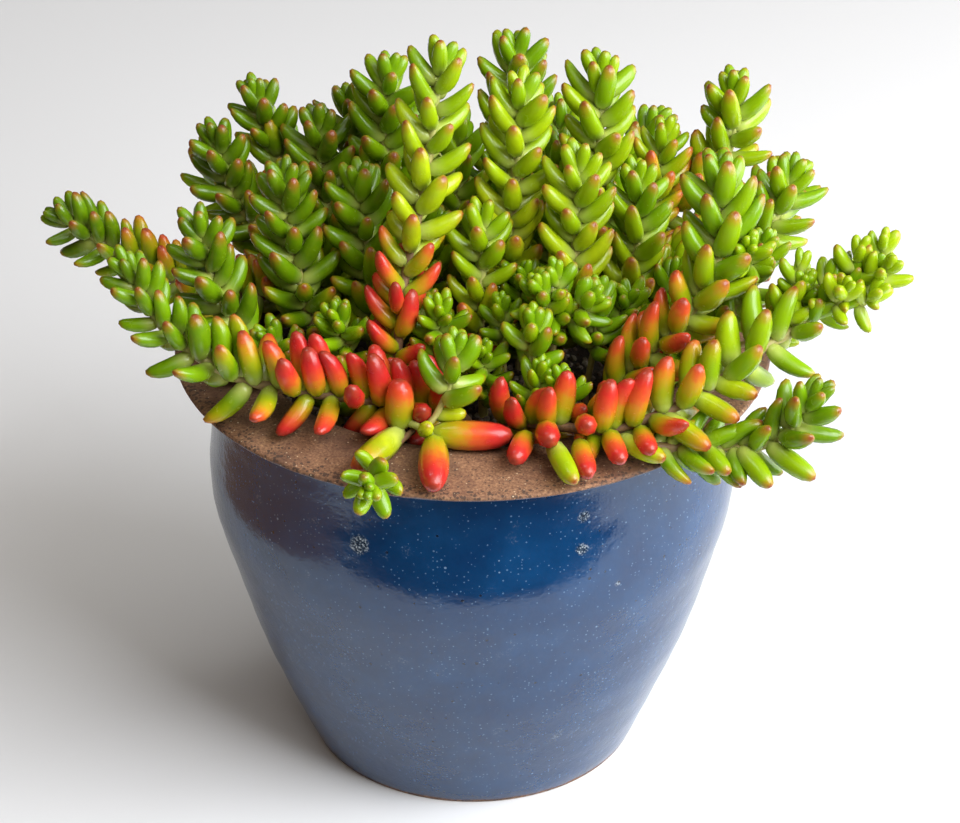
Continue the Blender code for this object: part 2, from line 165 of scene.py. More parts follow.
# Stems whose leaves sit further apart than usual, by this factor.
LOOSE = {"stem_tall": 1.3, "stem_middle": 1.2, "stem_top": 1.1, "stem_right_front": 1.5,
         "stem_left_front": 1.1, "stem_low_right": 1.15}

# a leaf's outline from root to tip: share of its length, share of its greatest half width
LEAF_OUTLINE = [(0.0, 0.0), (0.03, 0.5), (0.13, 0.8), (0.3, 0.96), (0.48, 1.0), (0.67, 0.95),
                (0.83, 0.8), (0.95, 0.48), (1.0, 0.0)]

# Each row is a shoot: node, leaf length, bare length from its start, route.
# A route starts at the soil with x, y alone, or on its mother shoot with x, y, z.
SHOOTS = [
    ("stem_far_left", 16, 66, [(-52, 8), (-74, 8, 187), (-104, 10, 190), (-130, 14, 200), (-157, 20, 215)]),
    ("stem_left_front", 21, 14, [(-2, -56), (-25, -66, 183), (-45, -70, 189), (-66, -68, 191),
                                 (-90, -63, 195), (-113, -57, 210), (-127, -48, 230)]),
    ("stem_left_middle", 18, 34, [(-62, -30), (-82, -30, 186), (-95, -28, 208), (-102, -22, 232)]),
    ("stem_bare_left", 16, 60, [(-46, 46), (-64, 52, 205), (-75, 56, 220), (-85, 62, 246)]),
    ("stem_left_back", 17, 30, [(-64, 32), (-80, 42, 195), (-93, 45, 211), (-99, 48, 234)]),
    ("stem_left_inner", 18, 20, [(-60, -4), (-65, -8, 200), (-69, -4, 219), (-71, 0, 240)]),
    ("stem_shade_left", 17, 30, [(-48, 30), (-56, 38, 205), (-60, 48, 240)]),
    ("stem_inner_left", 18, 18, [(-38, -12), (-38, -6, 194), (-41, 0, 213), (-43, 6, 237)]),
    ("stem_shade_back", 17, 30, [(-38, 62), (-46, 65, 212), (-49, 70, 238)]),
    ("stem_back_left", 18, 34, [(-30, 34), (-34, 42, 225), (-33, 50, 261)]),
    ("stem_tall", 18, 8, [(-26, -44), (-28, -43, 190), (-26, -35, 215), (-21, -24, 237),
                          (-16, -12, 262), (-12, 0, 291)]),
    ("stem_middle", 17, 18, [(2, -26), (3, -22, 203), (4, -14, 231)]),
    ("stem_old_front", 24, 90, [(-28, -68), (-27, -73, 179), (-24, -79, 184), (-17, -85, 184),
                                (-9, -89, 182)]),
    ("stem_old_front", 11.5, 12, [(-18, -84, 184), (-13, -81, 189), (-8, -77, 200), (-6, -74, 210)]),
    ("stem_old_front", 9.5, 27, [(-22, -80, 181), (-32, -97, 180), (-36, -112, 180), (-37, -125, 184)]),
    ("stem_bud_front", 11.5, 16, [(18, -50), (21, -54, 190), (22, -55, 211)]),
    ("stem_bud_upper", 11.5, 26, [(28, -38), (31, -40, 202), (31, -38, 222)]),
    ("stem_bud_right", 11.5, 18, [(43, -36), (46, -40, 196), (47, -36, 214)]),
    ("stem_bud_shade", 11, 22, [(12, -38), (11, -37, 208)]),
    ("stem_back_top", 19, 38, [(12, 52), (16, 58, 222), (17, 68, 262)]),
    ("stem_top", 18, 16, [(12, 2), (14, -2, 210), (16, 4, 241), (18, 14, 271)]),
    ("stem_right_tall", 18, 34, [(44, 16), (48, 22, 235), (49, 34, 270)]),
    ("stem_right_middle", 18, 16, [(32, -16), (37, -20, 202), (39, -14, 225), (40, -6, 250)]),
    ("stem_right_inner", 17, 16, [(58, 2), (63, 10, 205), (63, 20, 231)]),
    ("stem_right_back", 15, 12, [(62, 36), (70, 46, 205), (75, 55, 232)]),
    ("stem_far_back", 18, 44, [(48, 54), (53, 56, 184), (82, 58, 202), (100, 57, 226), (102, 62, 248)]),
    ("stem_right_comb", 20, 16, [(48, -54), (63, -53, 194), (80, -51, 213), (91, -43, 235), (91, -29, 258)]),
    ("stem_right_outer", 17, 44, [(64, 16), (70, 17, 184), (90, 17, 196), (112, 18, 210), (123, 26, 229)]),
    ("stem_right_low", 14, 34, [(66, -18), (70, -19, 182), (88, -24, 191), (103, -24, 205), (109, -20, 224)]),
    ("stem_right_cluster", 11.5, 46, [(62, -36), (68, -38, 183), (92, -41, 191), (113, -38, 201),
                                      (123, -34, 218)]),
    ("stem_right_front", 21, 12, [(10, -64), (14, -70, 179), (30, -80, 183), (53, -85, 185), (82, -79, 195),
                                  (107, -66, 208), (125, -56, 214), (148, -46, 232)]),
    ("stem_low_right", 17.5, 50, [(34, -60), (38, -68, 179), (52, -84, 182), (66, -91, 181),
                                  (88, -88, 179), (104, -90, 180), (117, -92, 190), (123, -93, 200)]),
    ("stem_right_spur", 11, 52, [(68, -4), (74, -5, 182), (100, -6, 191), (126, -12, 198), (141, -12, 210)]),
    ("stem_rear_left", 17, 26, [(-52, 50), (-57, 54, 182), (-80, 70, 190), (-98, 80, 193), (-104, 85, 208)]),
    ("stem_rear_a", 18, 26, [(-26, 68), (-30, 73, 182), (-50, 92, 190), (-74, 112, 191), (-84, 120, 205)]),
    ("stem_rear_b", 18, 26, [(-8, 64), (-10, 72, 182), (-16, 94, 190), (-24, 120, 188), (-27, 132, 203)]),
    ("stem_rear_c", 18, 26, [(14, 70), (16, 77, 183), (20, 98, 190), (24, 124, 187), (28, 136, 201)]),
    ("stem_rear_d", 18, 26, [(32, 62), (36, 70, 183), (48, 90, 191), (64, 112, 189), (73, 120, 203)]),
    ("stem_rear_right", 18, 26, [(66, 24), (72, 28, 183), (96, 46, 191), (114, 60, 193), (122, 66, 207)]),
    ("stem_rear_inner", 17, 30, [(30, 44), (34, 70, 205), (36, 86, 226)]),
    ("stem_rear_shade", 17, 30, [(-22, 50), (-28, 76, 205), (-30, 92, 224)]),
    ("stem_core_back", 17, 34, [(-8, 24), (-6, 32, 215), (-6, 44, 240)]),
    ("stem_core_right", 16, 30, [(28, 22), (32, 34, 205), (34, 48, 230)]),
]

# Side rosettes that the CAD model leaves out, on its stems.
SIDE_SHOOTS = [
    ("stem_bud_upper", 11.5, 3, [(31, -39, 205), (27, -44, 212), (24, -47, 222)]),
    ("stem_bud_upper", 11.5, 3, [(31, -39, 205), (39, -44, 210), (44, -47, 217)]),
    ("stem_right_front", 11.9, 2, [(130, -54, 216), (134, -60, 223), (136, -64, 231)]),
    ("stem_right_front", 11.9, 2, [(140, -49, 225), (148, -54, 229), (152, -57, 236)]),
    ("stem_right_front", 11.5, 2, [(134, -52, 220), (140, -50, 230), (142, -49, 238)]),
    ("stem_right_front", 11.9, 2, [(136, -52, 221), (143, -58, 222), (147, -61, 228)]),
    ("stem_right_front", 11.5, 2, [(142, -48, 227), (149, -47, 232), (151, -47, 240)]),
    ("stem_right_front", 11.5, 2, [(114, -62, 211), (118, -52, 220), (121, -46, 230)]),
    ("stem_right_front", 11.5, 2, [(122, -58, 214), (128, -52, 221), (132, -49, 229)]),
    ("stem_right_cluster", 10.5, 3, [(113, -38, 201), (119, -46, 213), (122, -50, 225)]),
    ("stem_right_low", 11.9, 3, [(106, -22, 212), (102, -36, 226), (102, -44, 238)]),
]

# Low growth that fills the pot, which the CAD model leaves out. All its shoots have the one bare length,
# and each row is a shoot's leaf length and route.
UNDERGROWTH_BARE = 8
UNDERGROWTH = [
    (15, [(-46, -30), (-48, -34, 190), (-50, -38, 203)]),
    (15, [(-14, -36), (-13, -38, 192), (-12, -42, 208)]),
    (15, [(-50, -52), (-54, -54, 182), (-58, -56, 192)]),
    (14, [(-20, -16), (-20, -16, 195), (-22, -18, 214)]),
    (14, [(18, -12), (19, -14, 195), (20, -18, 210)]),
    (15, [(54, -22), (56, -24, 190), (58, -28, 206)]),
    (15, [(-56, 18), (-60, 20, 190), (-66, 22, 206)]),
    (15, [(-16, 8), (-18, 8, 200), (-20, 10, 224)]),
    (15, [(28, 4), (30, 6, 200), (32, 8, 222)]),
    (15, [(46, 34), (50, 38, 195), (54, 44, 214)]),
    (13, [(4, -46), (4, -50, 186), (4, -54, 197)]),
    (13, [(34, -62), (34, -64, 182), (33, -66, 192)]),
    (13, [(22, -60), (23, -62, 182), (25, -63, 194)]),
    (15, [(8, 36), (8, 40, 200), (8, 46, 224)]),
    (15, [(-70, -24), (-72, -26, 180), (-76, -30, 190)]),
    (15, [(72, 10), (74, 10, 182), (80, 8, 196)]),
    (15, [(74, -36), (76, -38, 181), (82, -44, 192)]),
    (15, [(-14, 74), (-14, 76, 182), (-16, 82, 194)]),
    (15, [(50, 66), (52, 70, 184), (56, 78, 198)]),
    (15, [(-50, 66), (-54, 70, 184), (-60, 78, 196)]),
]

# How the sun has coloured a stem: redness at its root, where along it that fades
# (share of the leafy length from the tip), redness at the tip, and greenness from
# 0, dark and shaded, to 1, bright yellow-green. Greenness is partly the leaves' own tint and partly
# painted shade: low on the stems to the left and back that stand in shade, and painted light on the
# backlit stem_far_back.
SUN_USUAL = (0.25, 0.6, 0.0, 0.6)
# the newest stretch of a stem, which is a cooler green, and how much less green at its tip: a share of
# the stem's greenness on a grown stem, a plain amount on a young one
HEAD_LENGTH = 55.0
GROWN_SHADED = 0.38
YOUNG_SHADED = 0.05
# redness at the root and greenness of young shoots
YOUNG_RED = 0.12
YOUNG_GREEN_USUAL = 0.44
YOUNG_GREEN = {"stem_right_front": 0.62, "stem_right_cluster": 0.56, "stem_right_spur": 0.6,
               "stem_right_low": 0.54}
SUN = {
    "stem_left_front": (1.0, 0.42, 0.0, 0.34),
    "stem_right_front": (0.92, 0.5, 0.02, 0.52),
    "stem_low_right": (0.7, 0.62, 0.02, 0.36),
    "stem_tall": (0.95, 0.55, 0.0, 0.77),
    "stem_right_comb": (0.75, 0.45, 0.0, 0.54),
    "stem_right_back": (0.55, 0.15, 0.2, 0.8),
    "stem_far_left": (0.6, 0.25, 0.02, 0.25),
    "stem_middle": (0.6, 0.55, 0.0, 0.8),
    "stem_right_middle": (0.6, 0.55, 0.0, 0.86),
    "stem_left_middle": (0.3, 0.6, 0.0, 0.22),
    "stem_left_inner": (0.3, 0.6, 0.0, 0.3),
    "stem_left_back": (0.3, 0.4, 0.02, 0.2),
    "stem_bare_left": (0.4, 0.3, 0.04, 0.25),
    "stem_shade_left": (0.2, 0.6, 0.0, 0.1),
    "stem_shade_back": (0.2, 0.6, 0.0, 0.15),
    "stem_inner_left": (0.4, 0.6, 0.0, 0.45),
    "stem_back_left": (0.2, 0.6, 0.0, 0.5),
    "stem_top": (0.5, 0.6, 0.0, 0.86),
    "stem_back_top": (0.2, 0.6, 0.0, 0.55),
    "stem_right_tall": (0.35, 0.6, 0.0, 0.76),
    "stem_far_back": (0.5, 0.3, 0.0, 0.78),
    "stem_right_inner": (0.35, 0.5, 0.0, 0.7),
}

# Stems whose last stretch carries smaller leaves, and how long those are.
SMALL_HEADS = {"stem_right_front": 12.0, "stem_left_front": 15.5}

# Old leaves set along the front: stem, root, tip, thickness, redness, greenness. The first
# stem has no other grown leaves.
OLD_STEM = "stem_old_front"
OLD_LEAVES = [
    ("stem_old_front", (-15, -85, 183), (15, -87, 181), 11.5, 1.0, 0.95),
    ("stem_old_front", (-14, -87, 182), (-14, -119, 178), 11.5, 1.0, 0.9),
    ("stem_old_front", (-26, -80, 181), (-43, -107, 179), 10.5, 0.6, 1.0),
    ("stem_old_front", (-27, -79, 181), (-26, -77, 202), 11.5, 0.85, 0.5),
    ("stem_old_front", (-14, -79, 187), (-2, -81, 188), 6.0, 0.1, 1.0),
    ("stem_old_front", (-18, -84, 183), (-16, -93, 190), 6.0, 0.1, 1.0),
    ("stem_right_front", (20, -84, 182), (15, -104, 181), 9.0, 1.0, 0.8),
    ("stem_right_front", (29, -90, 182), (37, -116, 179), 8.5, 0.15, 0.7),
    ("stem_right_front", (39, -89, 182), (42, -113, 180), 8.5, 0.95, 0.9),
    ("stem_right_front", (27, -82, 184), (28, -101, 188), 9.5, 1.0, 0.8),
    ("stem_right_front", (41, -82, 186), (42, -97, 192), 8.5, 0.9, 0.9),
    ("stem_right_front", (50, -86, 184), (54, -106, 182), 8.5, 0.95, 0.9),
    ("stem_right_front", (61, -85, 185), (65, -104, 185), 8.0, 0.9, 0.8),
    ("stem_low_right", (54, -86, 182), (70, -103, 181), 8.0, 0.15, 0.85),
    ("stem_right_front", (70, -82, 189), (86, -102, 185), 8.5, 0.55, 0.85),
    ("stem_right_front", (80, -76, 195), (97, -92, 191), 8.0, 0.5, 0.85),
    ("stem_right_front", (88, -74, 199), (104, -86, 198), 7.5, 0.4, 0.8),
    ("stem_low_right", (84, -91, 181), (93, -107, 178), 7.5, 0.1, 0.5),
    ("stem_low_right", (98, -92, 181), (108, -110, 174), 8.0, 0.1, 0.5),
    ("stem_low_right", (108, -93, 183), (124, -108, 176), 8.0, 0.1, 0.5),
]

# camera, matched to the photograph's frame of 960 by 823
CAMERA_AT = (0.0028, -1.3055, 0.9270)
CAMERA_PITCH = 31.05
CAMERA_LENS = 146.1


def smooth(value):
    """Ease from 0 to 1."""
    value = min(1.0, max(0.0, value))
    return value * value * (3.0 - 2.0 * value)


def curve_through(points, spacing):
    """Catmull-Rom curve from the second point to the last, sampled at an even spacing.

    The first point only gives the direction that the curve starts in.
    """
    ends = points + [points[-1] * 2 - points[-2]]
    fine = []
    for a, b, c, d in zip(ends, ends[1:], ends[2:], ends[3:]):
        for step in range(CURVE_PARTS):
            t = step / CURVE_PARTS
            fine.append(((b * 2) + (c - a) * t + (a * 2 - b * 5 + c * 4 - d) * t * t
                         + (b * 3 - a - c * 3 + d) * t ** 3) / 2)
    fine.append(points[-1])
    reach = [0.0]
    for a, b in zip(fine, fine[1:]):
        reach.append(reach[-1] + (b - a).length)
    count = max(2, round(reach[-1] / spacing))
    path = []
    i = 0
    for k in range(count + 1):
        goal = reach[-1] * k / count
        while i < len(fine) - 2 and reach[i + 1] < goal:
            i += 1
        part = (goal - reach[i]) / max(1e-9, reach[i + 1] - reach[i])
        path.append(fine[i].lerp(fine[i + 1], min(1.0, part)))
    return path


class Leaf:
    """One bean-shaped leaf: its root, its axis, the way it curls, its size and its colouring."""

    def __init__(self, root, axis, curl, length, width, redness, greenness):
        self.root = root
        self.axis = axis.normalized()
        self.curl = (curl - self.axis * curl.dot(self.axis)).normalized()
        self.length = length
        self.width = width
        self.redness = redness
        self.greenness = greenness
        self.bend = LEAF_BEND

    def balls(self):
        """Balls along the leaf that hold its thick part."""
        return [(self.root + self.axis * (self.length * along)
                 + self.curl * (self.bend * self.length * along * along), self.width * part)
                for along, part in LEAF_BALLS]

    def turned(self, stem_axis, spin, tilt, scale):
        """The same leaf spun round its stem, tilted towards the stem's tip and scaled."""
        spun = Matrix.Rotation(spin, 3, stem_axis)
        axis = spun @ self.axis
        curl = spun @ self.curl
        axis = Matrix.Rotation(tilt, 3, axis.cross(curl)) @ axis
        other = Leaf(self.root, axis, curl, self.length * scale, self.width * scale,
                     self.redness, self.greenness)
        other.bend = self.bend
        return other

    def facing(self):
        """The turn that takes a leaf from upright, curling to +X, to its own place."""
        side = self.axis.cross(self.curl)
        return Matrix((self.curl, side, self.axis)).transposed().to_quaternion()


def shoot_route(route):
    """The route's points: its foot in the soil and the same spot just above, or a fork."""
    if len(route[0]) == 2:
        x, y = route[0]
        foot = [Vector((x, y, SOIL_TOP - ROOT_DEPTH)), Vector((x, y, SOIL_TOP + STRAIGHT))]
        return foot + [Vector(p) for p in route[1:]]
    fork = [Vector(p) for p in route]
    return [fork[0] * 2 - fork[1]] + fork


def shoot_leaves(node, path, step, leaf_length, bare, rng):
    """Leaves on a spiral, closer, shorter and more upright towards the tip."""
    red_root, fades, red_tip, greenness = SUN.get(node, SUN_USUAL)
    total = step * (len(path) - 1)
    young = leaf_length < BUD_LENGTH
    if node == OLD_STEM and not young:
        return []
    fat, pitch, grows, opens, parts, least, crowded, open_tip, open_grown = YOUNG if young else GROWN
    if young:
        leaf_length *= BUD_PLUMP.get(node, 1.0)
        leafy = max(1.0, min(total - bare, BUD_LEAFY))
        red_root, red_tip, greenness = YOUNG_RED, 0.0, YOUNG_GREEN.get(node, YOUNG_GREEN_USUAL)
        shaded = YOUNG_SHADED
    else:
        leafy = max(1.0, total - bare * BARE_SHARE)
        shaded = GROWN_SHADED * greenness
    pitch *= LOOSE.get(node, 1.0)
    leaves = []
    back = 0.0
    number = 0
    turn = rng.uniform(0, 2 * math.pi)
    while back < leafy:
        grown = smooth(back / (grows * leaf_length) + 0.1)
        place = (total - back) / step
        i = min(len(path) - 2, int(place))
        point = path[i].lerp(path[i + 1], place - i)
        along = (path[i + 1] - path[i]).normalized()
        angle = turn + number * SPIRAL + math.radians(rng.uniform(-TURNS_VARY, TURNS_VARY))
        out = UP.rotation_difference(along) @ Vector((math.cos(angle), math.sin(angle), 0))
        lying = 0.0 if young else (1.0 - along.z * along.z) * SPREAD.get(node, 1.0)
        opened = smooth(back / (opens * leaf_length))
        opening = open_tip + (open_grown + OPEN_LYING * lying - open_tip) * opened
        opening = math.radians(opening + rng.uniform(-OPENINGS_VARY, OPENINGS_VARY))
        axis = along * math.cos(opening) + out * math.sin(opening)
        lift = 0.15 + 0.6 * smooth(out.z + 0.6)
        axis = axis.normalized() + UP * (lift * lying * grown)
        small = SMALL_HEADS.get(node, leaf_length)
        full = small + (leaf_length - small) * smooth((back - SMALL_HEAD[0])
                                                      / (SMALL_HEAD[1] - SMALL_HEAD[0]))
        length = full * (least + (1 - least) * grown) * rng.uniform(*LENGTHS_VARY)
        width = length * fat * rng.uniform(*WIDTHS_VARY)
        red = red_tip + (red_root - red_tip) * smooth((back / leafy - fades + RED_FADE / 2) / RED_FADE)
        red += rng.uniform(-REDNESS_VARIES, REDNESS_VARIES) * min(1.0, 3 * red)
        green = greenness - shaded * (1 - smooth(back / HEAD_LENGTH))
        green += rng.uniform(-GREENNESS_VARIES, GREENNESS_VARIES)
        leaf = Leaf(point, axis, along * (1 - 0.8 * lying) + UP * lying, length, width, red * grown, green)
        leaf.bend = LEAF_BEND * rng.uniform(*BENDS_VARY) * opened
        leaves.append((back, along, leaf))
        parted = smooth(back / (parts * leaf_length))
        back += pitch * full * (crowded + (1 - crowded) * parted) * rng.uniform(*PITCHES_VARY)
        number += 1
    return leaves


def free_height(x, y, z):
    """How far a point lies from the soil, the collar and the pot's side."""
    radius = math.hypot(x, y)
    if radius <= LIP_R:
        collar = POT_H - LIP_DROP * max(0.0, (radius - COLLAR_IN_R) / (LIP_R - COLLAR_IN_R))
        return z - (collar if radius > COLLAR_IN_R - COLLAR_CLEAR else SOIL_TOP + SOIL_CROWN)
    if z > POT_H - LIP_DROP:
        return math.hypot(radius - LIP_R, z - POT_H + LIP_DROP)
    return radius - LIP_R


class Crowd:
    """Balls that fill the stems and leaves, sorted into boxes, to keep the stems clear of each other."""

    CELL = 12.0

    def __init__(self):
        self.boxes = {}

    def key(self, spot):
        return (int(spot.x // self.CELL), int(spot.y // self.CELL), int(spot.z // self.CELL))

    def add(self, node, balls):
        for spot, size in balls:
            self.boxes.setdefault(self.key(spot), []).append((node, spot, size))

    def is_clear(self, node, balls):
        for spot, size in balls:
            if free_height(*spot) < size:
                return False
            a, b, c = self.key(spot)
            for i in (a - 1, a, a + 1):
                for j in (b - 1, b, b + 1):
                    for k in (c - 1, c, c + 1):
                        for other, there, girth in self.boxes.get((i, j, k), ()):
                            if other != node and (spot - there).length_squared < (size + girth - PRESS) ** 2:
                                return False
        return True


def stem_radius(back, leaf_length, bud):
    """Stem thickness: even below and thin at the tip."""
    base = BUD_STEM_R if bud else STEM_R
    return TIP_R + (base - TIP_R) * smooth(back / (1.4 * leaf_length) + 0.1)


def plan_plant():
    """Each stem's tubes and its leaves, which are turned, shrunk or dropped where stems would cross."""
    rng = random.Random(SEED)
    crowd = Crowd()
    tubes = {}
    waiting = []
    kept = {}
    low_growth = [("undergrowth", length, UNDERGROWTH_BARE, route) for length, route in UNDERGROWTH]
    for node, leaf_length, bare, route in SHOOTS + SIDE_SHOOTS + low_growth:
        points = shoot_route(route)
        fine = curve_through(points, FINE_STEP)
        step = sum((b - a).length for a, b in zip(fine, fine[1:])) / (len(fine) - 1)
        bud = leaf_length < BUD_LENGTH
        total = step * (len(fine) - 1)
        tube = [(p, stem_radius(total - i * step, leaf_length, bud), (total - i * step) / leaf_length)
                for i, p in enumerate(fine)]
        if points[0].z < SOIL_TOP:
            tube.insert(0, (points[0], tube[0][1], tube[0][2]))
        tubes.setdefault(node, []).append(tube)
        crowd.add(node, [(p, size) for p, size, age in tube])
        waiting += [(back, node, along, leaf)
                    for back, along, leaf in shoot_leaves(node, fine, step, leaf_length, bare, rng)]
    for node, root, tip, width, redness, greenness in OLD_LEAVES:
        axis = Vector(tip) - Vector(root)
        leaf = Leaf(Vector(root), axis, UP, axis.length, width, redness, greenness)
        leaf.bend = OLD_LEAF_BEND
        kept.setdefault(node, []).append(leaf)
        # under a name of their own, so that their own stem's other leaves keep clear of them too
        crowd.add("old_leaves", leaf.balls())
    waiting.sort(key=lambda row: row[0])
    tries = [(math.radians(spin), math.radians(tilt), scale)
             for scale in LEAF_SCALES for spin in LEAF_SPINS for tilt in LEAF_TILTS]
    for back, node, along, leaf in waiting:
        for spin, tilt, scale in tries:
            other = leaf.turned(along, spin, tilt, scale)
            if crowd.is_clear(node, other.balls()):
                kept.setdefault(node, []).append(other)
                crowd.add(node, other.balls())
                break
    return tubes, kept


# MATERIALS AND NODE TREES

# sockets of the Mix node when it mixes colours
MIX_A = 6
MIX_B = 7
MIX_OUT = 2


def colour(code):
    """An sRGB hex code as linear red, green, blue and 1."""
    parts = [int(code[i:i + 2], 16) / 255 for i in (1, 3, 5)]
    return (*[p / 12.92 if p <= 0.04045 else ((p + 0.055) / 1.055) ** 2.4 for p in parts], 1.0)


def fill(tree, node, inputs):
    """Links or sets a node's inputs. A node given as a value stands for its first output."""
    for name, value in inputs.items():
        if isinstance(value, bpy.types.Node):
            value = value.outputs[0]
        if isinstance(value, bpy.types.NodeSocket):
            tree.links.new(value, node.inputs[name])
        else:
            node.inputs[name].default_value = value


def add(tree, kind, inputs=None, **settings):
    """Adds a node with its settings, and fills its inputs."""
    made = tree.nodes.new(kind)
    for name, value in settings.items():
        setattr(made, name, value)
    fill(tree, made, inputs or {})
    return made


def new_material(name):
    """A material with only its Principled shader, its node tree and the shader."""
    made = bpy.data.materials.new(name)
    made.use_nodes = True
    return made, made.node_tree, made.node_tree.nodes["Principled BSDF"]


def ramp(tree, factor, stops):
    """A colour ramp's colour, from pairs of place and hex code."""
    made = add(tree, "ShaderNodeValToRGB", {0: factor})
    bar = made.color_ramp.elements
    while len(bar) < len(stops):
        bar.new(0.5)
    for stop, (place, code) in zip(bar, stops):
        stop.position = place
        stop.color = colour(code)
    return made.outputs[0]


def attribute(tree, name):
    return add(tree, "ShaderNodeAttribute", attribute_name=name).outputs["Fac"]


def object_place(tree):
    return add(tree, "ShaderNodeTexCoord").outputs["Object"]


def math_node(tree, operation, a, b):
    return add(tree, "ShaderNodeMath", {0: a, 1: b}, operation=operation).outputs[0]


def plus(tree, a, b):
    return math_node(tree, "ADD", a, b)


def minus(tree, a, b):
    return math_node(tree, "SUBTRACT", a, b)


def times(tree, a, b):
    return math_node(tree, "MULTIPLY", a, b)


def ease(tree, value, low, high):
    """0 below low, 1 above high, eased between; the other way round where low is above high."""
    return add(tree, "ShaderNodeMapRange", {"Value": value, "From Min": low, "From Max": high},
               interpolation_type="SMOOTHSTEP").outputs[0]


def between(tree, value, low, high):
    """From low at 0 to high at 1."""
    return add(tree, "ShaderNodeMapRange", {"Value": value, "To Min": low, "To Max": high}).outputs[0]


def mix(tree, factor, a, b):
    """Two colours mixed; the second one is a socket, a hex code or four numbers."""
    b = colour(b) if isinstance(b, str) else b
    return add(tree, "ShaderNodeMix", {0: factor, MIX_A: a, MIX_B: b}, data_type="RGBA").outputs[MIX_OUT]


def clouds(tree, place, scale, detail, roughness=0.5):
    """Noise from 0 to 1, whose largest patches are one metre over the scale."""
    return add(tree, "ShaderNodeTexNoise", {"Vector": place, "Scale": scale, "Detail": detail,
                                            "Roughness": roughness}).outputs["Fac"]


def cells(tree, place, scale):
    """Cells one metre over the scale wide: the distance from their middles, and draws for each cell."""
    made = add(tree, "ShaderNodeTexVoronoi", {"Vector": place, "Scale": scale}).outputs
    draws = add(tree, "ShaderNodeSeparateColor", {0: made["Color"]}).outputs
    return made["Distance"], draws


def flecks(tree, distance, draw, limit, growth):
    """1 on the round flecks of those cells whose draw is over the limit, and 0 beside them."""
    return math_node(tree, "LESS_THAN", distance, times(tree, minus(tree, draw, limit), growth))


def bump(tree, height, strength, distance, **more):
    """A bump node, whose distance is in metres."""
    return add(tree, "ShaderNodeBump", {"Height": height, "Strength": strength, "Distance": distance, **more})


def waxy_leaf():
    """Plump water-filled leaf under a thin wax, grown: wide soft streaks of light, green flesh
    that glows a little, and red where the sun has reached it."""
    made, tree, shader = new_material("waxy_succulent_leaf")
    along = attribute(tree, "along")
    red = attribute(tree, "redness")
    green = attribute(tree, "greenness")
    # flesh mottled in patches of about 3 mm
    mottle = clouds(tree, object_place(tree), 330.0, 2.0)
    # the ramp's dark end is partly painted shade, for the leaves of the stems to the left and back
    flesh = ramp(tree, green, [(0.0, "#466206"), (0.36, "#6A9206"), (0.65, "#93AC08"), (1.0, "#B6C016")])
    pale = mix(tree, ease(tree, along, 0.5, 0.0), flesh, "#B2BA60")
    flesh = mix(tree, times(tree, ease(tree, mottle, 0.3, 0.7), 0.25), pale, "#7E9A0C")
    # redness starts at the tip and reaches the root only on the sunniest leaves
    start = plus(tree, along, times(tree, minus(tree, red, 1.0), 1.15))
    start = plus(tree, start, times(tree, minus(tree, mottle, 0.5), 0.22))
    blush = ramp(tree, start, [(0.12, "#939A0C"), (0.36, "#B48618"), (0.55, "#C85222"),
                               (0.76, "#BE2A22"), (1.0, "#961A20")])
    skin = mix(tree, ease(tree, start, -0.25, 0.2), flesh, blush)
    # every grown leaf ends in a red-brown point
    tint = ease(tree, plus(tree, along, times(tree, mottle, 0.1)), 0.86, 1.05)
    point = ease(tree, along, 0.95, 0.99)
    ripe = attribute(tree, "grown")
    skin = mix(tree, times(tree, times(tree, tint, ripe), 0.55), skin, "#A03E22")
    skin = mix(tree, times(tree, point, between(tree, ripe, 0.25, 0.8)), skin, "#7E3020")
    fill(tree, shader, {"Base Color": skin, "Roughness": between(tree, mottle, 0.2, 0.31), "IOR": 1.45,
                        "Subsurface Weight": 0.08, "Subsurface Radius": (1.0, 0.7, 0.2),
                        "Subsurface Scale": 0.003})
    return made


def stem_skin():
    """Fleshy green stem that turns to thin brown bark as it ages: matt, with leaf scars."""
    made, tree, shader = new_material("fleshy_stem")
    age = attribute(tree, "age")
    # bark flakes of about 1 mm
    flake = clouds(tree, object_place(tree), 1000.0, 3.0)
    skin = ramp(tree, math_node(tree, "DIVIDE", age, 6.0),
                [(0.0, "#A8B458"), (0.3, "#ACA45A"), (0.6, "#80683E"), (1.0, "#5E4330")])
    worn = mix(tree, ease(tree, flake, 0.35, 0.65), skin, "#7E5C3C")
    skin = mix(tree, ease(tree, age, 2.0, 5.0), skin, worn)
    fill(tree, shader, {"Base Color": skin, "Roughness": 0.55, "Normal": bump(tree, flake, 0.5, 0.0003)})
    return made


# OBJECTS AND MESHES

def put(name, data):
    """A new object in the scene that holds the data."""
    made = bpy.data.objects.new(name, data)
    bpy.context.scene.collection.objects.link(made)
    return made


def mesh_from(bm, name):
    """The edited mesh as a mesh of its own."""
    mesh = bpy.data.meshes.new(name)
    bm.to_mesh(mesh)
    bm.free()
    return mesh


def worked_mesh(obj):
    """The object's mesh as its modifiers leave it."""
    bpy.context.view_layer.update()
    graph = bpy.context.evaluated_depsgraph_get()
    return bpy.data.meshes.new_from_object(obj.evaluated_get(graph))


def geometry_tree(name, sockets, result):
    """A geometry node tree with its inputs and one output, and the sockets that its inputs feed."""
    tree = bpy.data.node_groups.new(name, "GeometryNodeTree")
    for label, kind in sockets.items():
        tree.interface.new_socket(label, in_out="INPUT", socket_type="NodeSocket" + kind)
    tree.interface.new_socket(result, in_out="OUTPUT", socket_type="NodeSocketGeometry")
    return tree, add(tree, "NodeGroupInput").outputs


def plain_mesh(obj, tree, values, name):
    """Runs the node tree on the object and returns the result as a plain mesh object."""
    modifier = obj.modifiers.new(tree.name, "NODES")
    modifier.node_group = tree
    for item in tree.interface.items_tree:
        if item.name in values:
            modifier[item.identifier] = values[item.name]
    mesh = worked_mesh(obj)
    bpy.data.objects.remove(obj)
    mesh.name = name
    return put(name, mesh)


# THE LEAFY STEMS

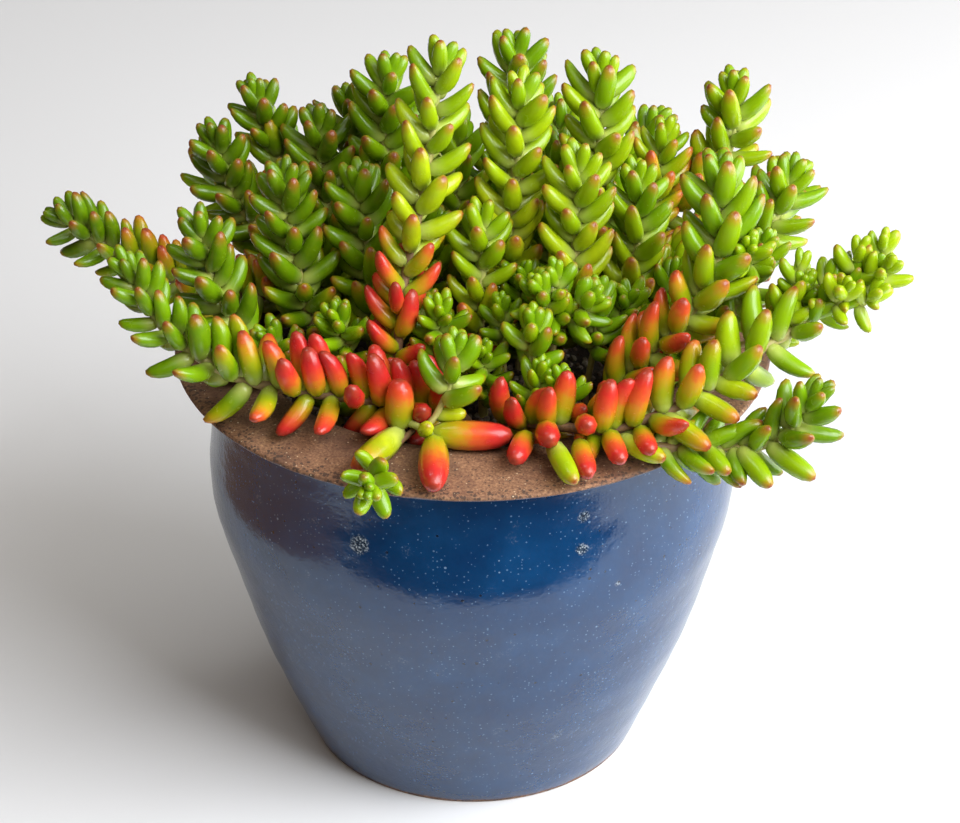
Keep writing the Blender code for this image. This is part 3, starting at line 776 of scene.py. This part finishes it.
def leaf_form():
    """The bean that every leaf is made from: one unit long and two units thick."""
    verts = [(0.0, 0.0, 0.0)]
    alongs = [0.0]
    for along, fat in LEAF_OUTLINE[1:-1]:
        for i in range(LEAF_SIDES):
            angle = 2 * math.pi * i / LEAF_SIDES
            verts.append((fat * math.cos(angle), fat * math.sin(angle), along))
            alongs.append(along)
    verts.append((0.0, 0.0, 1.0))
    alongs.append(1.0)
    last = len(verts) - 1
    rings = len(LEAF_OUTLINE) - 2
    faces = []
    for i in range(LEAF_SIDES):
        j = (i + 1) % LEAF_SIDES
        faces.append((0, 1 + j, 1 + i))
        for k in range(rings - 1):
            low = 1 + k * LEAF_SIDES
            faces.append((low + i, low + j, low + LEAF_SIDES + j, low + LEAF_SIDES + i))
        low = 1 + (rings - 1) * LEAF_SIDES
        faces.append((low + i, low + j, last))
    mesh = bpy.data.meshes.new("leaf_form")
    mesh.from_pydata(verts, [], faces)
    mesh.attributes.new("along", "FLOAT", "POINT").data.foreach_set("value", alongs)
    return put("leaf_form", mesh)


def leafy_stem_tree():
    """Tubes along the edges, and one leaf form on each loose point, bent and coloured by attributes."""
    tree, given = geometry_tree("leafy stem", {
        "Plan": "Geometry", "Leaf form": "Object", "Stem sides": "Int", "Leaf skin": "Material",
        "Stem skin": "Material"}, "Leafy stem")

    def named(name, kind="FLOAT"):
        return add(tree, "GeometryNodeInputNamedAttribute", {"Name": name}, data_type=kind).outputs[0]

    split = add(tree, "GeometryNodeSeparateGeometry", {0: given["Plan"], 1: named("is_leaf", "BOOLEAN")})
    form = add(tree, "GeometryNodeObjectInfo", {"Object": given["Leaf form"]})
    leaves = add(tree, "GeometryNodeInstanceOnPoints",
                 {"Points": split, "Instance": form.outputs["Geometry"],
                  "Rotation": named("facing", "QUATERNION"), "Scale": named("size", "FLOAT_VECTOR")})
    leaves = add(tree, "GeometryNodeRealizeInstances", {0: leaves})
    along = named("along")
    offset = add(tree, "ShaderNodeVectorMath",
                 {0: named("bow", "FLOAT_VECTOR"), "Scale": times(tree, along, along)}, operation="SCALE")
    leaves = add(tree, "GeometryNodeSetPosition", {"Geometry": leaves, "Offset": offset})
    leaves = add(tree, "GeometryNodeSetMaterial",
                 {"Geometry": leaves, "Material": given["Leaf skin"]})
    line = add(tree, "GeometryNodeMeshToCurve", {0: split.outputs[1]})
    ring = add(tree, "GeometryNodeCurvePrimitiveCircle", {"Resolution": given["Stem sides"], "Radius": 1.0})
    stems = add(tree, "GeometryNodeCurveToMesh", {0: line, 1: ring,
                                                  "Scale": named("girth"), "Fill Caps": True})
    stems = add(tree, "GeometryNodeSetMaterial",
                {"Geometry": stems, "Material": given["Stem skin"]})
    both = add(tree, "GeometryNodeJoinGeometry")
    tree.links.new(stems.outputs[0], both.inputs[0])
    tree.links.new(leaves.outputs[0], both.inputs[0])
    soft = add(tree, "GeometryNodeSetShadeSmooth", {0: both})
    add(tree, "NodeGroupOutput", {0: soft})
    return tree


def stem_plan(node, tubes, leaves):
    """The points that the leafy stem tree reads: stem lines with their girth, and leaf roots."""
    verts = []
    edges = []
    names = ("girth", "age", "is_leaf", "redness", "greenness", "grown")
    rows = []
    vectors = {"size": [], "bow": []}
    turns = []
    for tube in tubes:
        for i, (point, radius, age) in enumerate(tube):
            if i:
                edges.append((len(verts) - 1, len(verts)))
            verts.append(point * MM)
            scar = 1.0 + SCAR * (i % 3 == 0)
            rows.append((radius * scar * MM, age, False, 0.0, 0.0, 0.0))
            vectors["size"] += [0.0, 0.0, 0.0]
            vectors["bow"] += [0.0, 0.0, 0.0]
            turns += [1.0, 0.0, 0.0, 0.0]
    for leaf in leaves:
        verts.append(leaf.root * MM)
        grown = smooth((leaf.length - GROWN_FROM) / (GROWN_TO - GROWN_FROM))
        rows.append((0.0, 0.0, True, leaf.redness, leaf.greenness, grown))
        half = leaf.width / 2 * MM
        vectors["size"] += [half, half, leaf.length * MM]
        vectors["bow"] += list(leaf.curl * (leaf.bend * leaf.length * MM))
        turns += list(leaf.facing())
    mesh = bpy.data.meshes.new(node + "_plan")
    mesh.from_pydata(verts, edges, [])
    for name, values in zip(names, zip(*rows)):
        kind = "BOOLEAN" if name == "is_leaf" else "FLOAT"
        mesh.attributes.new(name, kind, "POINT").data.foreach_set("value", values)
    for name, values in vectors.items():
        mesh.attributes.new(name, "FLOAT_VECTOR", "POINT").data.foreach_set("vector", values)
    mesh.attributes.new("facing", "QUATERNION", "POINT").data.foreach_set("value", turns)
    return put(node + "_plan", mesh)


def dress_stems():
    """One piece for each stem node, which it replaces, and one for the undergrowth."""
    tubes, kept = plan_plant()
    tree = leafy_stem_tree()
    values = {"Leaf form": leaf_form(), "Stem sides": STEM_SIDES, "Leaf skin": waxy_leaf(),
              "Stem skin": stem_skin()}
    for node in tubes:
        plan = stem_plan(node, tubes[node], kept[node])
        piece = plain_mesh(plan, tree, values, node.replace("stem", "leafy_stem"))
        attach(piece, "root")
        if node in frame["nodes"]:
            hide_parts(node)
    bpy.data.objects.remove(values["Leaf form"])


# THE POT

def body_outline(inset, top, low, spacing):
    """The outside's curve from the neck down, moved in by the inset, between two heights."""
    points = [Vector((r, 0.0, z)) for r, z in BODY]
    points.insert(0, points[0] * 2 - points[1])
    path = curve_through(points, spacing)
    return [(p.x - inset, p.z) for p in path if low <= p.z <= top]


def pot_profile():
    """The pot's outline as radius and height, and the number of its points that are outside."""
    under = POT_H - LIP_DROP - COLLAR_THICK
    lip_z = POT_H - LIP_DROP
    neck = BODY[0][0]
    profile = [(COLLAR_IN_R, POT_H - INNER_EDGE),
               (COLLAR_IN_R + INNER_EDGE * 0.3, POT_H - INNER_EDGE * 0.3)]
    collar = int((LIP_R - COLLAR_IN_R - LIP_ROUND) / COLLAR_STEP)
    for i in range(1, collar + 1):
        part = i / collar
        dish = COLLAR_DISH * math.sin(math.pi * part)
        profile.append((COLLAR_IN_R + (LIP_R - LIP_ROUND - COLLAR_IN_R) * part,
                        POT_H - LIP_DROP * part - dish))
    for i in range(1, LIP_STEPS):
        angle = math.pi * i / LIP_STEPS
        profile.append((LIP_R - LIP_ROUND + LIP_ROUND * math.sin(angle),
                        lip_z - LIP_ROUND + LIP_ROUND * math.cos(angle)))
    # from the lip in to the neck, under the collar
    profile += [(LIP_R - LIP_ROUND * 1.2, lip_z - 2.1 * LIP_ROUND),
                (neck + COLLAR_FLARE * 1.6, under + 1.2), (neck + COLLAR_FLARE * 0.7, under - 0.6),
                (neck + 1.0, under - 1.6), (neck + 0.2, under - 2.8), (neck, under - 4.2)]
    profile += body_outline(0.0, under - 6.0, 2.0, BODY_STEP)
    profile += [(FOOT_R + 0.6, 0.8), (FOOT_R, 0.0), (FOOT_R - 20.0, 0.0), (10.0, 0.0), (0.0, 0.0)]
    outside = len(profile)
    profile += [(0.0, FLOOR), (SEAT_R, FLOOR), (SEAT_R + SEAT_COVE[0], FLOOR + SEAT_COVE[1])]
    profile += reversed(body_outline(WALL, INNER_TOP, INNER_LOW, 4 * BODY_STEP))
    profile += [(COLLAR_IN_R + COLLAR_FLARE, SHOULDER_Z), (COLLAR_IN_R, POT_H - COLLAR_THICK)]
    return profile, outside


def hand_wave(flat, angle, z):
    """How far a thrower's hand leaves the wall out of true: slow bulges, dents and throwing lines."""
    wave = 0.5 * noise.noise(flat * 1.2 + UP * (z / 45))
    wave += 0.12 * noise.noise(flat * 5 + UP * (z / 9))
    return wave + 0.1 * math.sin(z / 2.6 + angle)


def thrown_mesh():
    """The pot turned by hand, with how far each point lies past the lip's edge along its outline."""
    profile, outside = pot_profile()
    lip = max(range(outside), key=lambda i: profile[i][0])
    reach = [0.0]
    for (a, b), (c, d) in zip(profile, profile[1:]):
        reach.append(reach[-1] + math.hypot(c - a, d - b))
    bm = bmesh.new()
    past_lip = bm.verts.layers.float.new("past_lip")
    rows = []
    for i, (radius, z) in enumerate(profile):
        steps = POT_TURN_STEPS if radius else 1
        row = []
        for k in range(steps):
            angle = 2 * math.pi * k / POT_TURN_STEPS
            flat = Vector((math.cos(angle), math.sin(angle), 0))
            wave = hand_wave(flat, angle, z) if i < outside and z > 3.0 else 0.0
            vert = bm.verts.new(((radius + wave) * flat.x * MM, (radius + wave) * flat.y * MM,
                                 (z + (0.3 if z < POT_H - 4 else 0.5) * wave) * MM))
            vert[past_lip] = reach[i] - reach[lip]
            row.append(vert)
        rows.append(row if radius else row * POT_TURN_STEPS)
    rows.append(rows[0])
    for above, below in zip(rows, rows[1:]):
        for k in range(POT_TURN_STEPS):
            m = (k + 1) % POT_TURN_STEPS
            corners = [above[k], below[k], below[m], above[m]]
            corners = [c for n, c in enumerate(corners) if c not in corners[:n]]
            if len(corners) > 2:
                bm.faces.new(corners)
    bmesh.ops.recalc_face_normals(bm, faces=bm.faces)
    for face in bm.faces:
        face.smooth = True
    return mesh_from(bm, "pot_thrown")


# middle and radius of each blister in the glaze
BLISTERS = [((-41.7, -93.0, 139.3), 6.0), ((41.6, -92.3, 151.2), 4.5), ((39.9, -93.9, 137.7), 4.0),
            ((54.2, -87.0, 118.4), 3.0), ((-26.0, -93.0, 112.0), 2.5), ((66.0, -66.0, 60.0), 3.0)]


def cobalt_glaze(tree, place, ended, edge):
    """The glaze's colour, and 1 on its pinholes: deep blue with clouds, specks and blisters."""
    # clouds of about 20 mm
    cloud = clouds(tree, place, 45.0, 5.0, 0.6)
    glaze = ramp(tree, cloud, [(0.3, "#042A50"), (0.5, "#043158"), (0.72, "#083A64")])
    # pale specks up to 1 mm wide and dark pinholes up to 1.5 mm
    speck, draws = cells(tree, place, 300.0)
    pale = flecks(tree, speck, draws[0], 0.86, 1.1)
    glaze = mix(tree, times(tree, pale, 0.55), glaze, "#7D9BB8")
    pinholes = flecks(tree, speck, draws[1], 0.8, 1.1)
    glaze = mix(tree, times(tree, pinholes, 0.7), glaze, "#06101C")
    # finer specks, under a millimetre wide
    fine, draws = cells(tree, place, 700.0)
    dust = flecks(tree, fine, draws[0], 0.4, 0.45)
    glaze = mix(tree, times(tree, dust, 0.4), glaze, "#6F93B4")
    # blisters: crusts of unmelted glaze, 5 to 10 mm wide, dark between pale crumbs
    blistered = 0.0
    for spot, radius in BLISTERS:
        far = add(tree, "ShaderNodeVectorMath", {0: place, 1: [v * MM for v in spot]},
                  operation="DISTANCE").outputs[1]
        near = ease(tree, far, radius * MM, radius * 0.2 * MM)
        blistered = math_node(tree, "MAXIMUM", near, blistered)
    blistered = ease(tree, plus(tree, edge, times(tree, blistered, 0.5)), 0.62, 1.0)
    crusts = ramp(tree, clouds(tree, place, 1300.0, 3.0),
                  [(0.4, "#141C26"), (0.52, "#3E4C58"), (0.64, "#B4BCC0")])
    glaze = mix(tree, times(tree, blistered, 0.85), glaze, crusts)
    # it thins to grey over the lip's edge: partly a thin glaze, partly a painted highlight along the lip
    thin = times(tree, ease(tree, ended, 2.4, 1.2), 0.4)
    return mix(tree, thin, glaze, "#56606A"), pinholes


def bare_clay(tree, place, past, grog):
    """The clay's colour: sandy brown, stained, with iron pits and quartz grains."""
    clay = ramp(tree, grog, [(0.3, "#50321E"), (0.5, "#80593C"), (0.7, "#A67E58")])
    stain = clouds(tree, place, 60.0, 4.0)
    clay = mix(tree, times(tree, ease(tree, stain, 0.42, 0.66), 0.7), clay, "#543624")
    # dark iron pits and pale quartz about a millimetre wide; towards the lip the pits are more and larger
    grain, draws = cells(tree, place, 800.0)
    many = plus(tree, 0.25, times(tree, ease(tree, past, -14.0, 1.0), 0.3))
    iron = flecks(tree, grain, draws[0], minus(tree, 1.0, many), 1.6)
    clay = mix(tree, times(tree, iron, 0.75), clay, "#2A1A12")
    quartz = flecks(tree, grain, draws[1], 0.8, 1.6)
    return mix(tree, times(tree, quartz, 0.7), clay, "#D8BE9A")


def glazed_pot():
    """Stoneware, thrown, dipped in cobalt glaze and fired: deep glassy blue outside with pale
    specks, pinholes and blisters, and a dry sandy collar, foot and inside."""
    made, tree, shader = new_material("cobalt_glaze_on_stoneware")
    place = object_place(tree)
    past = attribute(tree, "past_lip")
    height = add(tree, "ShaderNodeSeparateXYZ", {0: place}).outputs[2]
    # the glaze ends just below the lip, unevenly by about 1 mm, and again at the foot
    edge = clouds(tree, place, 90.0, 3.0)
    drift = times(tree, minus(tree, edge, 0.5), 2.4)
    ended = plus(tree, past, drift)
    foot = ease(tree, plus(tree, height, times(tree, drift, 0.0007)), 0.0008, 0.0024)
    outside = ease(tree, past, BARE_PAST[1], BARE_PAST[0])
    glazed = times(tree, times(tree, ease(tree, ended, 0.2, 1.6), foot), outside)
    # grog of about 1 mm, which makes the bare clay sandy
    grog = clouds(tree, place, 1000.0, 4.0, 0.7)
    glaze, pinholes = cobalt_glaze(tree, place, ended, edge)
    clay = bare_clay(tree, place, past, grog)
    # orange peel: ripples of 9 mm, with finer ones of about 2 mm on them
    ripple = bump(tree, clouds(tree, place, 110.0, 3.0, 0.65), 0.25, 0.001)
    pitted = bump(tree, minus(tree, 1.0, pinholes), 0.5, 0.0004, Normal=ripple)
    sandy = bump(tree, grog, 0.45, 0.0005)
    # a Mix node's sockets 2 and 3 take numbers, 4 and 5 take vectors
    rough = add(tree, "ShaderNodeMix", {0: glazed, 2: 0.85, 3: 0.17})
    normal = add(tree, "ShaderNodeMix", {0: glazed, 4: sandy, 5: pitted}, data_type="VECTOR")
    fill(tree, shader, {"Base Color": mix(tree, glazed, clay, glaze), "Roughness": rough,
                        "IOR": 1.64, "Normal": normal.outputs[1]})
    return made


def dress_pot():
    """The finely turned pot, with its drain holes bored, in place of the coarse one."""
    mesh = thrown_mesh()
    mesh.materials.append(glazed_pot())
    pot = put("pot_glazed", mesh)
    borers = bpy.data.collections.new("borers")
    bpy.context.scene.collection.children.link(borers)
    for i in range(DRAIN_COUNT):
        angle = math.pi / 2 + i * 2 * math.pi / DRAIN_COUNT
        bm = bmesh.new()
        bmesh.ops.create_cone(bm, cap_ends=True, segments=32, radius1=DRAIN_D / 2 * MM,
                              radius2=DRAIN_D / 2 * MM, depth=2 * (FLOOR + 4) * MM)
        cutter = mesh_from(bm, "borer")
        cutter.transform(Matrix.Translation((DRAIN_PITCH_R * math.cos(angle) * MM,
                                             DRAIN_PITCH_R * math.sin(angle) * MM, 0)))
        borers.objects.link(bpy.data.objects.new("borer", cutter))
    bore = pot.modifiers.new("drains", "BOOLEAN")
    bore.operation = "DIFFERENCE"
    bore.operand_type = "COLLECTION"
    bore.collection = borers
    bored = worked_mesh(pot)
    pot.modifiers.clear()
    pot.data = bored
    for cutter in list(borers.objects):
        bpy.data.objects.remove(cutter)
    bpy.data.collections.remove(borers)
    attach(pot, "root")
    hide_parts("pot")


# THE SOIL

def potting_mix():
    """Potting mix of peat, bark and grit, dry on top: dull, dark and crumbly."""
    made, tree, shader = new_material("potting_mix")
    # crumbs of about 2 mm
    crumb = clouds(tree, object_place(tree), 420.0, 5.0, 0.7)
    brown = ramp(tree, crumb, [(0.3, "#15100C"), (0.55, "#2C2017"), (0.75, "#503E30")])
    fill(tree, shader, {"Base Color": brown, "Roughness": 0.95, "Normal": bump(tree, crumb, 0.9, 0.0015)})
    return made


def grit():
    """Crushed grit and bark crumbs, as they come from the bag: rough grey and brown."""
    made, tree, shader = new_material("grit_and_bark")
    tone = ramp(tree, attribute(tree, "shade"),
                [(0.0, "#2A1D14"), (0.45, "#4C3827"), (0.75, "#5E4E40"), (1.0, "#7C7264")])
    fill(tree, shader, {"Base Color": tone, "Roughness": 0.9})
    return made


def crumbs_tree():
    """Crumbs scattered over a surface: small rough lumps, turned and sized at random."""
    tree, given = geometry_tree("crumbs", {
        "Ground": "Geometry", "Crumbs per square metre": "Float", "Smallest": "Float", "Largest": "Float",
        "Seed": "Int", "Finish": "Material"}, "Crumbs")

    def drawn(inputs, kind):
        return add(tree, "FunctionNodeRandomValue", inputs, data_type=kind).outputs

    seed = given["Seed"]
    spots = add(tree, "GeometryNodeDistributePointsOnFaces",
                {"Mesh": given["Ground"], "Density": given["Crumbs per square metre"], "Seed": seed})
    spots = add(tree, "GeometryNodeStoreNamedAttribute",
                {"Geometry": spots, "Name": "shade", "Value": drawn({"Seed": seed}, "FLOAT")[1]},
                data_type="FLOAT")
    lump = add(tree, "GeometryNodeMeshIcoSphere", {"Radius": 1.0, "Subdivisions": 1})
    size = drawn({2: given["Smallest"], 3: given["Largest"], "Seed": seed}, "FLOAT")[1]
    long = drawn({0: (0.6, 0.6, 0.4), 1: (1.5, 1.0, 0.9)}, "FLOAT_VECTOR")[0]
    scale = add(tree, "ShaderNodeVectorMath", {0: long, "Scale": size}, operation="SCALE")
    turn = drawn({1: (6.28, 6.28, 6.28)}, "FLOAT_VECTOR")[0]
    lumps = add(tree, "GeometryNodeInstanceOnPoints",
                {"Points": spots, "Instance": lump, "Rotation": turn,
                 "Scale": scale})
    real = add(tree, "GeometryNodeRealizeInstances", {0: lumps})
    done = add(tree, "GeometryNodeSetMaterial", {"Geometry": real, "Material": given["Finish"]})
    add(tree, "NodeGroupOutput", {0: done})
    return tree


def dress_soil():
    """A better finish on the soil itself, and loose crumbs over its top."""
    soil = frame["nodes"]["soil"]
    finish = potting_mix()
    for slot in soil.material_slots:
        slot.material = finish
    bm = bmesh.new()
    bmesh.ops.create_circle(bm, cap_ends=True, segments=64, radius=(COLLAR_IN_R - 1.0) * MM)
    bmesh.ops.poke(bm, faces=bm.faces)
    for vert in bm.verts:
        edge = math.hypot(vert.co.x, vert.co.y) > 1 * MM
        vert.co.z = (SOIL_TOP + (0.0 if edge else SOIL_CROWN)) * MM
    ground = put("soil_ground", mesh_from(bm, "soil_ground"))
    values = {"Crumbs per square metre": CRUMBS_PER_M2, "Smallest": CRUMB_SIZES[0] * MM,
              "Largest": CRUMB_SIZES[1] * MM, "Seed": SEED, "Finish": grit()}
    crumbs = plain_mesh(ground, crumbs_tree(), values, "soil_crumbs")
    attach(crumbs, "root")


# STAGE, LIGHT AND CAMERA

# in metres: half the paper's width, how far in front of the pot's axis and how far left of it the lit
# paper seems to end in the glaze's reflections, and how high the cards lie over the paper
PAPER_REACH = 5.0
PAPER_FRONT = 0.245
PAPER_LEFT = 0.27
CARD_Z = 0.002
CARD_EDGE = -PAPER_FRONT - 0.022
# name, colour, near left corner and far right corner of each card
# the cards' colours are painted shade, seen only in reflections: the dark unlit room in front, a brown band
# for the paper's half-lit edge, and the shaded brown floor to the left
CARDS = [("card_front", "#101318", (-1.5, -2.4), (1.5, CARD_EDGE)),
         ("card_edge", "#7E684E", (-1.5, CARD_EDGE), (1.5, -PAPER_FRONT)),
         ("card_left", "#A87A3C", (-1.5, -PAPER_FRONT), (-PAPER_LEFT, 0.5))]
WORLD_STRENGTH = 0.38


def sheet(name, material_name, code, roughness, specular, low, high, z):
    """A flat rectangle of dull paper or card."""
    made, tree, shader = new_material(material_name)
    fill(tree, shader, {"Base Color": colour(code), "Roughness": roughness,
                        "Specular IOR Level": specular})
    mesh = bpy.data.meshes.new(name)
    corners = [(x, y, z) for x, y in (low, (high[0], low[1]), high, (low[0], high[1]))]
    mesh.from_pydata(corners, [], [(0, 1, 2, 3)])
    mesh.materials.append(made)
    return put(name, mesh)


def reflected_shade_cards():
    """Cards on the paper, in front and to the left, that only reflections see: painted shade in the glaze's
    reflections.

    They stand for the edge of the lit paper, which the upper half of the belly mirrors.
    """
    for name, tone, low, high in CARDS:
        card = sheet(name, name, tone, 1.0, 0.0, low, high, CARD_Z)
        card.visible_camera = False
        card.visible_diffuse = False
        card.visible_shadow = False


def paper_floor():
    """Matt white paper rolled out flat, wide enough to fill the view from any side."""
    paper = sheet("paper_floor", "background_paper", "#DDDDDC", 0.9, 0.5,
                  (-PAPER_REACH, -PAPER_REACH), (PAPER_REACH, PAPER_REACH), 0.0)


def area_light(name, place, aim, width, height, power, tint, diffuse=1.0, gloss=1.0):
    """A soft box. Without diffuse it shows only as a sheen on what is glossy, without gloss it
    only brightens."""
    lamp = bpy.data.lights.new(name, "AREA")
    lamp.shape = "RECTANGLE"
    lamp.size = width
    lamp.size_y = height
    lamp.energy = power
    lamp.color = colour(tint)[:3]
    lamp.diffuse_factor = diffuse
    lamp.specular_factor = gloss
    made = put(name, lamp)
    made.location = place
    made.rotation_euler = (Vector(aim) - Vector(place)).to_track_quat("-Z", "Y").to_euler()


def room_light():
    """The room's own light: bright to the right, dim to the left and dark in front, behind the camera."""
    world = bpy.data.worlds.new("room")
    bpy.context.scene.world = world
    world.use_nodes = True
    tree = world.node_tree
    way = add(tree, "ShaderNodeTexCoord").outputs["Generated"]
    xyz = add(tree, "ShaderNodeSeparateXYZ", {0: way}).outputs
    shade = mix(tree, ease(tree, xyz[0], -0.5, 0.8), colour("#7A5C40"), (1.2, 1.2, 1.2, 1.0))
    # a dark patch in front, about 70 degrees wide, where the unlit room lies
    front = times(tree, ease(tree, xyz[1], -0.72, -0.86), ease(tree, xyz[2], -0.05, 0.02))
    shade = mix(tree, front, shade, "#20242A")
    fill(tree, tree.nodes["Background"], {"Color": shade, "Strength": WORLD_STRENGTH})


def set_camera():
    lens = bpy.data.cameras.new("camera")
    lens.lens = CAMERA_LENS
    lens.sensor_width = 36.0
    lens.clip_end = 20.0
    made = put("camera", lens)
    made.location = CAMERA_AT
    made.rotation_euler = (math.radians(90 - CAMERA_PITCH), 0, 0)
    bpy.context.scene.camera = made


set_camera()
dress_stems()
dress_pot()
dress_soil()
paper_floor()
reflected_shade_cards()
room_light()
area_light("window", (0.82, -0.58, 0.95), (0, 0, 0.15), 1.1, 1.1, 36, "#F4F8FF")
area_light("strip_light", (-0.5, 0.1, 1.5), (0, 0, 0.2), 0.25, 0.8, 3.0, "#FFFFFF")
area_light("white_wall", (1.3, 0.3, 0.45), (0, 0, 0.15), 1.4, 0.9, 17, "#FFFFFF", diffuse=0.0)
area_light("fill", (0.1, -0.85, 1.45), (0, 0, 0.1), 1.4, 1.2, 7, "#FFF8F0", gloss=0.0)
bpy.context.scene.view_settings.view_transform = "Standard"
